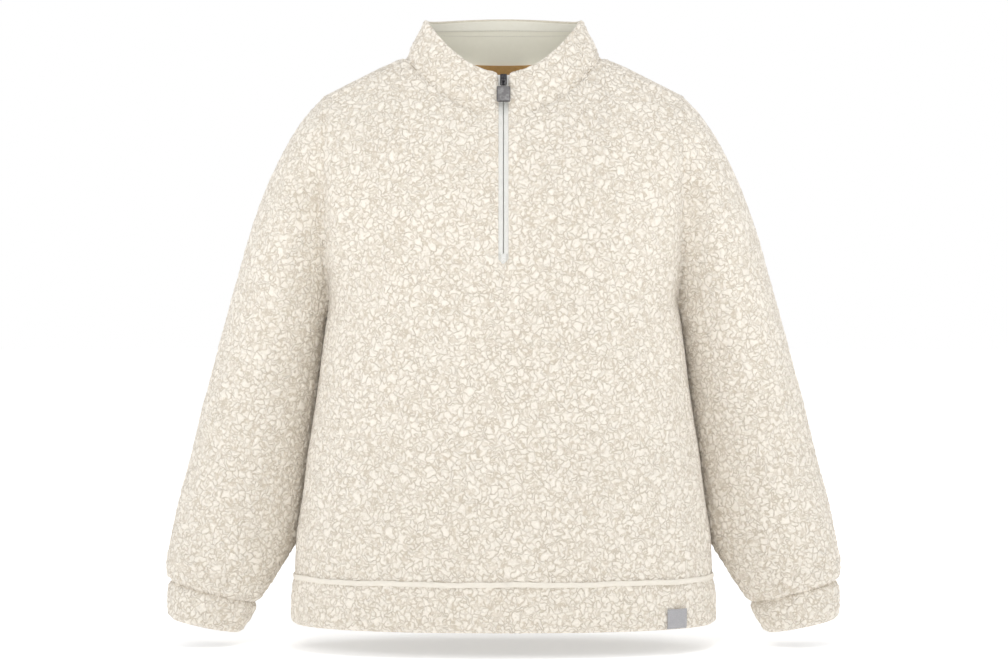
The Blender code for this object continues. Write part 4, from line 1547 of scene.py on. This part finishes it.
@dataclass
class HemBand:
    """The hem band, the strip along its seam and the blank patch near its left end.

    Attributes:
        maker: What curls the fleece.
        strip_finish: The strip's material.
        label_finish: The patch's material.
        thread: The material of the patch's stitches.
        cells: Cells up and round the band.
        seam: How it rolls down at the hem seam.
        edge: How it rolls down at its open end.
        strip_half_height: Half the strip's height.
        strip_lift: How far the strip's edges stand over the fleece.
        strip_bulge: How much more its middle does.
        label_x: Left and right ends of the patch.
        label_z: Its lower and upper ends.
        label_lift: How far its back stands over the fleece.
        label_cells: Cells along each of its sides.
    """

    maker: PileMaker
    strip_finish: bpy.types.Material
    label_finish: bpy.types.Material
    thread: bpy.types.Material
    cells: tuple[int, int] = (27, 540)
    seam: Roll = Roll(0.0010, 0.0070)
    edge: Roll = Roll(0.0028, 0.0045)
    strip_half_height: float = 0.0031
    strip_lift: float = 0.0002
    strip_bulge: float = 0.0011
    label_x: tuple[float, float] = (0.190, 0.213)
    label_z: tuple[float, float] = (-0.6765, -0.6535)
    label_lift: float = 0.0009
    label_cells: int = 12

    def strip(self) -> bpy.types.Object:
        """Makes the raised strip over the hem seam."""
        half = self.strip_half_height
        grid, out = band_surface(BODY, (HEM_SEAM - half, HEM_SEAM + half), 8, 360)
        share = np.linspace(-1.0, 1.0, 9)
        angle = np.linspace(0.0, 2 * math.pi, 360, endpoint=False)
        lumps = 1 + 0.16 * np.sin(61 * angle + 2 * np.sin(17 * angle)) + 0.12 * np.sin(97 * angle)
        bulge = self.strip_lift + self.strip_bulge * np.sqrt(1 - 0.96 * share**2)[:, None] * lumps[None]
        wander = 0.00045 * (np.sin(9 * angle + 1.3) + 0.6 * np.sin(23 * angle) + 0.5 * np.sin(71 * angle))
        grid[..., 2] += wander[None]
        mesh = Shell(grid, out, closed=True).mesh("hem_piping", -bulge, 0.0004)
        obj = link("hem_piping", mesh, self.strip_finish, self.strip_finish)
        declare(obj, stands_for=["hem_strip"])
        return obj

    def label(self) -> list[bpy.types.Object]:
        """Makes the blank patch, and the stitches that hold its edge."""
        count = self.label_cells
        x, z = np.meshgrid(np.linspace(*self.label_x, count + 1), np.linspace(*self.label_z, count + 1))
        grid = np.stack([x, -BAND.depth(x, z, Side.FRONT), z], axis=-1)
        out = outward(grid, grid * (0, 0, 1), closed=False)
        away = np.minimum(np.minimum(x - x.min(), x.max() - x), np.minimum(z - z.min(), z.max() - z))
        fold = 0.00035 * np.clip(1 - away / 0.0020, 0.0, 1.0) ** 2
        bent = 0.9 * self.edge.dip(z - HEM_END)
        shell = Shell(grid, out)
        top = self.label_lift + LABEL
        mesh = shell.mesh("hem_label_patch", bent + fold - top, bent - self.label_lift)
        patch = link("hem_label_patch", mesh, self.label_finish, self.label_finish)
        declare(patch, stands_for=["hem_label"])
        inset = slice(1, -1)
        inner, inner_out = grid[inset, inset], out[inset, inset]
        loop = np.concatenate([inner[0], inner[1:, -1], inner[-1, -2::-1], inner[-2::-1, 0]])
        corners = (inner_out[0], inner_out[1:, -1], inner_out[-1, -2::-1], inner_out[-2::-1, 0])
        loop_out = np.concatenate(corners)
        sewing = Stitching(length=0.0016, gap=0.0006, radius=0.0002)
        lift = top + 0.00005 - 0.9 * self.edge.dip(loop[:, 2:] - HEM_END)
        path = loop + lift * loop_out
        stitches = sewing.along("hem_label_stitches", [(path, loop_out)], self.thread)
        declare(stitches)
        return [patch, stitches]

    def build(self) -> None:
        """Makes the band and what is sewn to it."""
        grid, out = band_surface(BAND, [level.z for level in BAND_LEVELS], *self.cells)
        rolls = [("top", self.seam), ("bottom", self.edge)]
        strip = self.strip()
        shell = Shell(grid, out, closed=True, block=BLOCK)
        shell.pile = shell.seamed("top")
        self.maker.piece("hem_band_fleece", "hem_band", shell, rolls, with_pieces=[strip])
        self.label()


@dataclass
class Collar:
    """The stand collar, its facing with a stitched band at the top, and the tape inside the back.

    Attributes:
        maker: What curls the fleece.
        facing_finish: The facing's material.
        band_finish: The material of the band at its top.
        tape_finish: The neck tape's material.
        thread: The thread's material.
        form: The collar's form.
        cells: Cells up and round the collar.
        facing_top: Share of the height where the facing ends.
        band_low: Share where the band starts.
        stitch_heights: Shares where the stitched lines lie.
        tape_heights: Shares where the tape starts and ends.
        tape_angle: How far round from the centre back the tape runs.
        seam: How the fleece rolls down at the neck seam.
        top_edge: How it rolls down at the top.
        slot_edge: How it rolls down beside the zip.
        corner: Radius of the corners at the top of the zip.
    """

    maker: PileMaker
    facing_finish: bpy.types.Material
    band_finish: bpy.types.Material
    tape_finish: bpy.types.Material
    thread: bpy.types.Material
    form: CollarForm = CollarForm()
    cells: tuple[int, int] = (36, 288)
    facing_top: float = 0.96
    band_low: float = 0.80
    stitch_heights: tuple[float, ...] = (0.795, 0.70)
    tape_heights: tuple[float, float] = (0.0, 0.16)
    tape_angle: float = math.radians(62)
    seam: Roll = Roll(0.0004, 0.0060)
    top_edge: Roll = Roll(0.0017, 0.0040)
    slot_edge: Roll = Roll(0.0026, 0.0045)
    corner: float = 0.0060

    def rows_between(self, grid: np.ndarray, low: float, high: float, count: int) -> np.ndarray:
        """Rows of the collar's grid from one share of its height to another."""
        shares = np.linspace(0.0, 1.0, len(grid))
        return curve_through(shares, grid, np.linspace(low, high, count + 1))

    def layer(
        self, name: str, low: float, high: float, depth: float, thick: float, finish: bpy.types.Material,
        columns: slice = slice(None),
    ) -> tuple[bpy.types.Object, Shell]:
        """Makes one smooth layer inside the collar.

        Args:
            name: The piece's name.
            low: Share of the collar's height where it starts.
            high: Share where it ends.
            depth: How deep its skin next to the fleece lies.
            thick: Its thickness.
            finish: Its material.
            columns: The columns it covers.

        Returns:
            The piece and its grid.
        """
        grid, out = self.form.surface(36, 144)
        rows = max(4, int(36 * (high - low)))
        points = self.rows_between(grid, low, high, rows)[:, columns]
        ways = unit(self.rows_between(out, low, high, rows)[:, columns])
        shell = Shell(points, ways)
        return link(name, shell.mesh(name, depth, depth + thick), finish, finish), shell

    def stitch_line(self, name: str, height: float, depth: float) -> bpy.types.Object:
        """Sews one line round the inside of the collar."""
        grid, out = self.form.surface(36, 144)
        inside = slice(4, -4)
        path = self.rows_between(grid, height, height, 1)[0][inside]
        ways = unit(self.rows_between(out, height, height, 1)[0][inside])
        return Stitching().along(name, [(path - depth * ways, -ways)], self.thread)

    def build(self) -> None:
        """Makes the collar and the cloth inside it."""
        grid, out = self.form.surface(*self.cells)
        near = np.clip(1 - (np.abs(grid[..., 0]) - ZIP_SLOT) / self.corner, 0.0, 1.0)
        near = np.where(grid[..., 1] < 0, near, 0.0)
        rise = np.linspace(0.0, 1.0, len(grid))[:, None]
        grid[..., 2] -= self.corner * (1 - np.sqrt(1 - near**2)) * rise**5
        shell = Shell(grid, out, block=BLOCK)
        shell.pile = shell.seamed("bottom")
        rolls = [("bottom", self.seam), ("top", self.top_edge), ("sides", self.slot_edge)]
        self.maker.piece("collar_fleece", "collar", shell, rolls)
        depth = FLEECE + SEAM
        inner = depth + FACING
        edge = slice(2, -2)
        facing, cut = self.layer(
            "collar_facing_cloth", 0.0, self.facing_top, depth, FACING, self.facing_finish, edge
        )
        declare(facing, stands_for=["collar_facing"])
        band_high = self.facing_top + 0.01
        band, band_cut = self.layer(
            "collar_facing_band", self.band_low, band_high, inner + 0.0001, 0.0005, self.band_finish, edge
        )
        declare(band)
        for k, height in enumerate(self.stitch_heights):
            level = inner + (0.0006 if height > self.band_low else 0.0001)
            line = self.stitch_line(f"collar_stitches_{k + 1}", height, level)
            declare(line)
        width, length, area = cut.cut()
        width, length, area = band_cut.cut()
        half = int(round(72 * self.tape_angle / math.pi))
        covered = slice(72 - half, 73 + half)
        tape, tape_cut = self.layer(
            "neck_tape_cloth", *self.tape_heights, inner + 0.0004, TAPE, self.tape_finish, covered
        )
        declare(tape, stands_for=["neck_tape"])
        width, length, area = tape_cut.cut()


@dataclass
class Zip:
    """The tapes with their folded edges, the coil behind them, and the metal slider and pull.

    Attributes:
        tape_finish: The tapes' material.
        coil_finish: The coil's material, whose dark grey is painted shade for the gap between the tapes.
        slider_finish: The slider's material.
        pull_finish: The pull's material.
        thread: The thread's material.
        collar: The collar that the tapes run up.
        inner_x: How far a tape's folded edge lies from the centre.
        outer_x: How far its hidden edge lies from the centre.
        low: Height of the tapes' lower end.
        collar_top: Share of the collar's height where the tapes end.
        fold: How deep the folded edge rolls down.
        coil_pitch: Height of one turn of the coil.
        coil_radius: Its radius.
        coil_thread: Half the thickness of its wire.
        cells_across: Cells across a tape.
        bar_low: Height of the lower end of the close stitches that end the zip.
        bar_high: Height of their upper end.
        bar_half_width: Half their width.
        bar_pitch: Spacing of these stitches.
        bar_corner: Height of the rounded lower end, and the radius it follows.
    """

    tape_finish: bpy.types.Material
    coil_finish: bpy.types.Material
    slider_finish: bpy.types.Material
    pull_finish: bpy.types.Material
    thread: bpy.types.Material
    collar: CollarForm = CollarForm()
    inner_x: float = 0.0004
    outer_x: float = 0.0130
    low: float = TAPE_LOW
    collar_top: float = 0.955
    fold: float = 0.0006
    coil_pitch: float = 0.0014
    coil_radius: float = 0.0012
    coil_thread: float = 0.00036
    cells_across: int = 12
    bar_low: float = -0.2550
    bar_high: float = -0.2412
    bar_half_width: float = 0.0046
    bar_pitch: float = 0.00052
    bar_corner: tuple[float, float] = (0.004, 0.0045)

    def lining(self, x: float) -> np.ndarray:
        """The outer skin's line up the centre front at distance x from the middle."""
        below = np.linspace(self.low, NECK_FRONT, 120, endpoint=False)
        body = np.stack([np.full_like(below, x), -BODY.depth(x, below, Side.FRONT), below], axis=-1)
        heights = np.linspace(0.0, self.collar_top, 36)
        angles = np.arcsin(x / lerp(NECK_X, self.collar.top_x, heights))
        above = np.array([self.collar.point(a, h) for a, h in zip(angles, heights)])
        above[:, 0] = x
        return np.concatenate([body, above])

    def surface(self, sign: int) -> tuple[np.ndarray, np.ndarray]:
        """The tape's grid on one side, and the way out at each point."""
        xs = np.linspace(self.inner_x, self.outer_x, self.cells_across + 1)
        grid = np.stack([self.lining(x) for x in xs], axis=1)
        inside = grid * (0, 0, 1) + (0, 0.02, 0)
        out = outward(grid, inside, closed=False) * (0, 1, 1)
        return grid * (sign, 1, 1), unit(out)

    def tape(self, side: str, sign: int) -> tuple[bpy.types.Object, Shell]:
        """Makes one tape, whose edge at the centre is folded back over the coil, and gives its grid too."""
        grid, out = self.surface(sign)
        from_edge = np.abs(grid[..., 0]) - self.inner_x
        rounded = self.fold * np.clip(1 - from_edge / 0.0012, 0.0, 1.0) ** 2
        skin = FLEECE + SEAM + rounded
        shell = Shell(grid, out)
        name = f"zip_tape_{side}_cloth"
        obj = link(name, shell.mesh(name, skin, FLEECE + SEAM + TAPE), self.tape_finish, self.tape_finish)
        declare(obj, stands_for=[f"zip_tape_{side}"])
        return obj, shell

    def coil(self, side: str, sign: int) -> bpy.types.Object:
        """Winds the coil on one side, behind the tape's folded edge."""
        line = self.lining(self.inner_x)
        steps = np.linalg.norm(np.diff(line, axis=0), axis=-1)
        along = np.concatenate([[0.0], np.cumsum(steps)])
        inside = line * (0, 0, 1) + (0, 0.02, 0)
        back = unit((inside - line) * (0, 1, 0))
        start = self.bar_high - self.low - 0.004
        turns = int((along[-1] - start - 0.002) / self.coil_pitch)
        at = np.linspace(start, start + turns * self.coil_pitch, turns * 8 + 1)
        middle = np.stack([np.interp(at, along, line[:, i]) for i in range(3)], axis=-1)
        ways = np.stack([np.interp(at, along, back[:, i]) for i in range(3)], axis=-1)
        angle = (at - at[0]) / self.coil_pitch * 2 * math.pi
        depth = FLEECE + SEAM + TAPE + self.coil_radius * 0.75 + self.coil_thread
        points = middle + ways * (depth + self.coil_radius * 0.7 * np.sin(angle))[:, None]
        points[:, 0] = sign * (0.0009 + self.coil_radius * (1 - np.cos(angle)) / 2 - 0.0007)
        curve = bpy.data.curves.new(f"zip_coil_{side}", "CURVE")
        curve.dimensions = "3D"
        curve.bevel_depth = self.coil_thread
        curve.bevel_resolution = 1
        curve.use_fill_caps = True
        spline = curve.splines.new("POLY")
        spline.points.add(len(points) - 1)
        spline.points.foreach_set("co", np.concatenate([points, np.ones((len(points), 1))], axis=1).ravel())
        obj = link(f"zip_coil_{side}", curve, self.coil_finish)
        declare(obj)
        return obj

    def bar(self) -> bpy.types.Object:
        """Sews the two tapes together at the zip's lower end, with close stitches across both."""
        lines = []
        corner, radius = self.bar_corner
        for z in np.arange(self.bar_low, self.bar_high, self.bar_pitch):
            below = max(0.0, self.bar_low + corner - z)
            rounded = math.sqrt(max(0.05, 1 - (below / radius) ** 2))
            x = np.linspace(-self.bar_half_width, self.bar_half_width, 7) * rounded
            y = -BODY.depth(x, np.full_like(x, z), Side.FRONT) + FLEECE + SEAM - 0.00012
            lines.append((np.stack([x, y, np.full_like(x, z)], axis=-1), np.tile((0.0, -1.0, 0.0), (7, 1))))
        sewing = Stitching(length=2 * self.bar_half_width - 0.0002, gap=0.0, radius=0.00030)
        short = Stitching(length=0.0040, gap=0.0002, radius=0.00030)
        verts, faces = [], []
        for path, out in lines:
            whole = path[-1, 0] - path[0, 0] > sewing.length
            (sewing if whole else short).sew(path, out, verts, faces)
        mesh = bpy.data.meshes.new("zip_end_stitches")
        mesh.from_pydata(verts, [], faces)
        mesh.shade_smooth()
        return link("zip_end_stitches", mesh, self.thread)

    def build(self) -> None:
        """Makes the zip."""
        bar = self.bar()
        declare(bar)
        for side, sign in (("left", 1), ("right", -1)):
            tape, shell = self.tape(side, sign)
            coil = self.coil(side, sign)
            width, length, area = shell.cut()
        for node, finish in (("zip_slider", self.slider_finish), ("zip_pull", self.pull_finish)):
            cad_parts[node].material_slots[0].material = finish
            LOG.info("%s keeps its own shape", node)


@dataclass(frozen=True)
class Studio:
    """The camera, the pale floor and the soft light.

    Attributes:
        distance: From the camera to the plane of the side seams.
        height: The camera's height.
        lens: Its focal length in millimetres, on a sensor 36 mm wide.
        floor_z: Height of the floor.
        sky: Strength of the light from all round.
        backdrop: Brightness of the backdrop that the camera sees.
        glow: How strongly the floor shines by itself, near the garment and far from it.
    """

    distance: float = 2.88
    height: float = -0.336
    lens: float = 85.7
    floor_z: float = -0.708
    sky: float = 0.44
    backdrop: float = 1.0
    glow: tuple[float, float] = (0.45, 0.72)

    def camera(self) -> None:
        """Puts the camera where the photograph was taken from."""
        data = bpy.data.cameras.new("camera")
        data.lens = self.lens
        data.sensor_width = 36.0
        data.clip_start = 0.05
        data.clip_end = 200.0
        camera = bpy.data.objects.new("camera", data)
        camera.location = (0.0006, -self.distance, self.height)
        camera.rotation_euler = (math.pi / 2, 0.0, 0.0)
        bpy.context.scene.collection.objects.link(camera)
        bpy.context.scene.camera = camera

    def floor(self) -> None:
        """Lays the floor."""
        material, nodes, shader = new_material("studio_floor", 0.9)
        place = nodes.add("ShaderNodeTexCoord").outputs["Object"]
        away = nodes.add("ShaderNodeVectorMath", {0: place}, operation="LENGTH").outputs["Value"]
        shader.inputs["Base Color"].default_value = rgba((0.92, 0.92, 0.925))
        shader.inputs["Emission Color"].default_value = rgba((1.0, 1.0, 1.0))
        glow = nodes.smooth(away, 0.45, 1.7, *self.glow)
        nodes.tree.links.new(glow, shader.inputs["Emission Strength"])
        mesh = bpy.data.meshes.new("studio_floor")
        far = 60.0
        corners = [(-far, -far, 0), (far, -far, 0), (far, far, 0), (-far, far, 0)]
        mesh.from_pydata(corners, [], [[0, 1, 2, 3]])
        obj = link("studio_floor", mesh, material)
        obj.location.z = self.floor_z

    def world(self) -> None:
        """Lights the scene from all round, with a white backdrop behind it."""
        world = bpy.data.worlds.new("studio")
        world.use_nodes = True
        bpy.context.scene.world = world
        nodes = Nodes(world.node_tree)
        seen = nodes.add("ShaderNodeLightPath").outputs["Is Camera Ray"]
        strength = nodes.add("ShaderNodeMix", {0: seen, 2: self.sky, 3: self.backdrop}, data_type="FLOAT")
        background = world.node_tree.nodes["Background"]
        background.inputs["Color"].default_value = rgba((1.0, 1.0, 1.0))
        world.node_tree.links.new(strength.outputs[0], background.inputs["Strength"])

    def lamp(self, name: str, place: Place, target: Place, size: float, watts: float) -> None:
        """Adds one large soft lamp.

        Args:
            name: Its name.
            place: Where it stands.
            target: What it points at.
            size: Its width.
            watts: Its power.
        """
        data = bpy.data.lights.new(name, "AREA")
        data.shape = "DISK"
        data.size = size
        data.energy = watts
        lamp = bpy.data.objects.new(name, data)
        lamp.location = place
        lamp.rotation_euler = (Vector(target) - Vector(place)).to_track_quat("-Z", "Y").to_euler()
        bpy.context.scene.collection.objects.link(lamp)

    def build(self) -> None:
        """Sets the studio up."""
        self.camera()
        self.floor()
        self.world()
        self.lamp("front_lamp", (-0.7, -2.9, 1.5), (0.0, 0.0, -0.33), 1.3, 23.0)
        self.lamp("left_lamp", (2.6, -0.7, 0.3), (0.0, 0.0, -0.33), 1.4, 13.0)
        self.lamp("right_lamp", (-2.6, -0.7, 0.3), (0.0, 0.0, -0.33), 1.4, 13.0)
        self.lamp("back_lamp", (0.7, 2.9, 1.5), (0.0, 0.0, -0.33), 1.6, 22.0)
        self.lamp("top_lamp", (0.3, -1.2, 2.2), (0.0, 0.0, -0.1), 1.2, 20.0)
        bpy.context.scene.view_settings.view_transform = "Standard"


def main() -> None:
    """Builds the pullover and its studio, and reports each piece."""
    logging.basicConfig(level=logging.INFO, format="%(message)s")
    Studio().build()
    backing = KnitFinish("fleece_back", (0.80, 0.755, 0.665), (0.60, 0.55, 0.46), 0.0016).material()
    maker = PileMaker(FleeceFinish().material(), backing)
    FleeceBody(maker).build()
    strip = KnitFinish("strip_knit", (0.93, 0.88, 0.79), (0.84, 0.785, 0.69), 0.0013, 0.0005).material()
    label = WovenFinish("label_weave", (0.50, 0.495, 0.51), (0.36, 0.355, 0.37), 0.0006, 10.0).material()
    label_thread = ThreadFinish("label_thread", (0.58, 0.575, 0.59)).material()
    HemBand(maker, strip, label, label_thread).build()
    facing = KnitFinish("facing_knit", (0.98, 0.955, 0.825), (0.93, 0.905, 0.770), 0.0011).material()
    band = KnitFinish("facing_band_knit", (0.98, 0.96, 0.86), (0.93, 0.905, 0.79), 0.0011).material()
    tan, brown = (0.64, 0.38, 0.13), (0.40, 0.22, 0.07)
    neck_tape = WovenFinish("neck_tape_weave", tan, brown, 0.0015, 0.003).material()
    thread = ThreadFinish("cream_thread", (0.88, 0.85, 0.76)).material()
    Collar(maker, facing, band, neck_tape, thread).build()
    zip_tape = WovenFinish("zip_tape_weave", (0.90, 0.90, 0.87), (0.74, 0.74, 0.71), 0.0007, 10.0).material()
    # The coil is real, but its dark grey is painted shade for the narrow gap between the tapes
    coil = ThreadFinish("coil_plastic_painted_gap_shade", (0.24, 0.24, 0.25), 0.4).material()
    plating, plating_worn = (0.030, 0.030, 0.033), (0.075, 0.075, 0.080)
    slider = MetalFinish("dark_plating", plating, plating_worn, (0.24, 0.42)).material()
    casting, casting_worn = (0.140, 0.135, 0.135), (0.230, 0.225, 0.225)
    pull = MetalFinish("cast_metal", casting, casting_worn, (0.42, 0.58)).material()
    white_thread = ThreadFinish("white_thread", (0.92, 0.92, 0.89)).material()
    Zip(zip_tape, coil, slider, pull, white_thread).build()


if __name__ == "__main__":
    main()
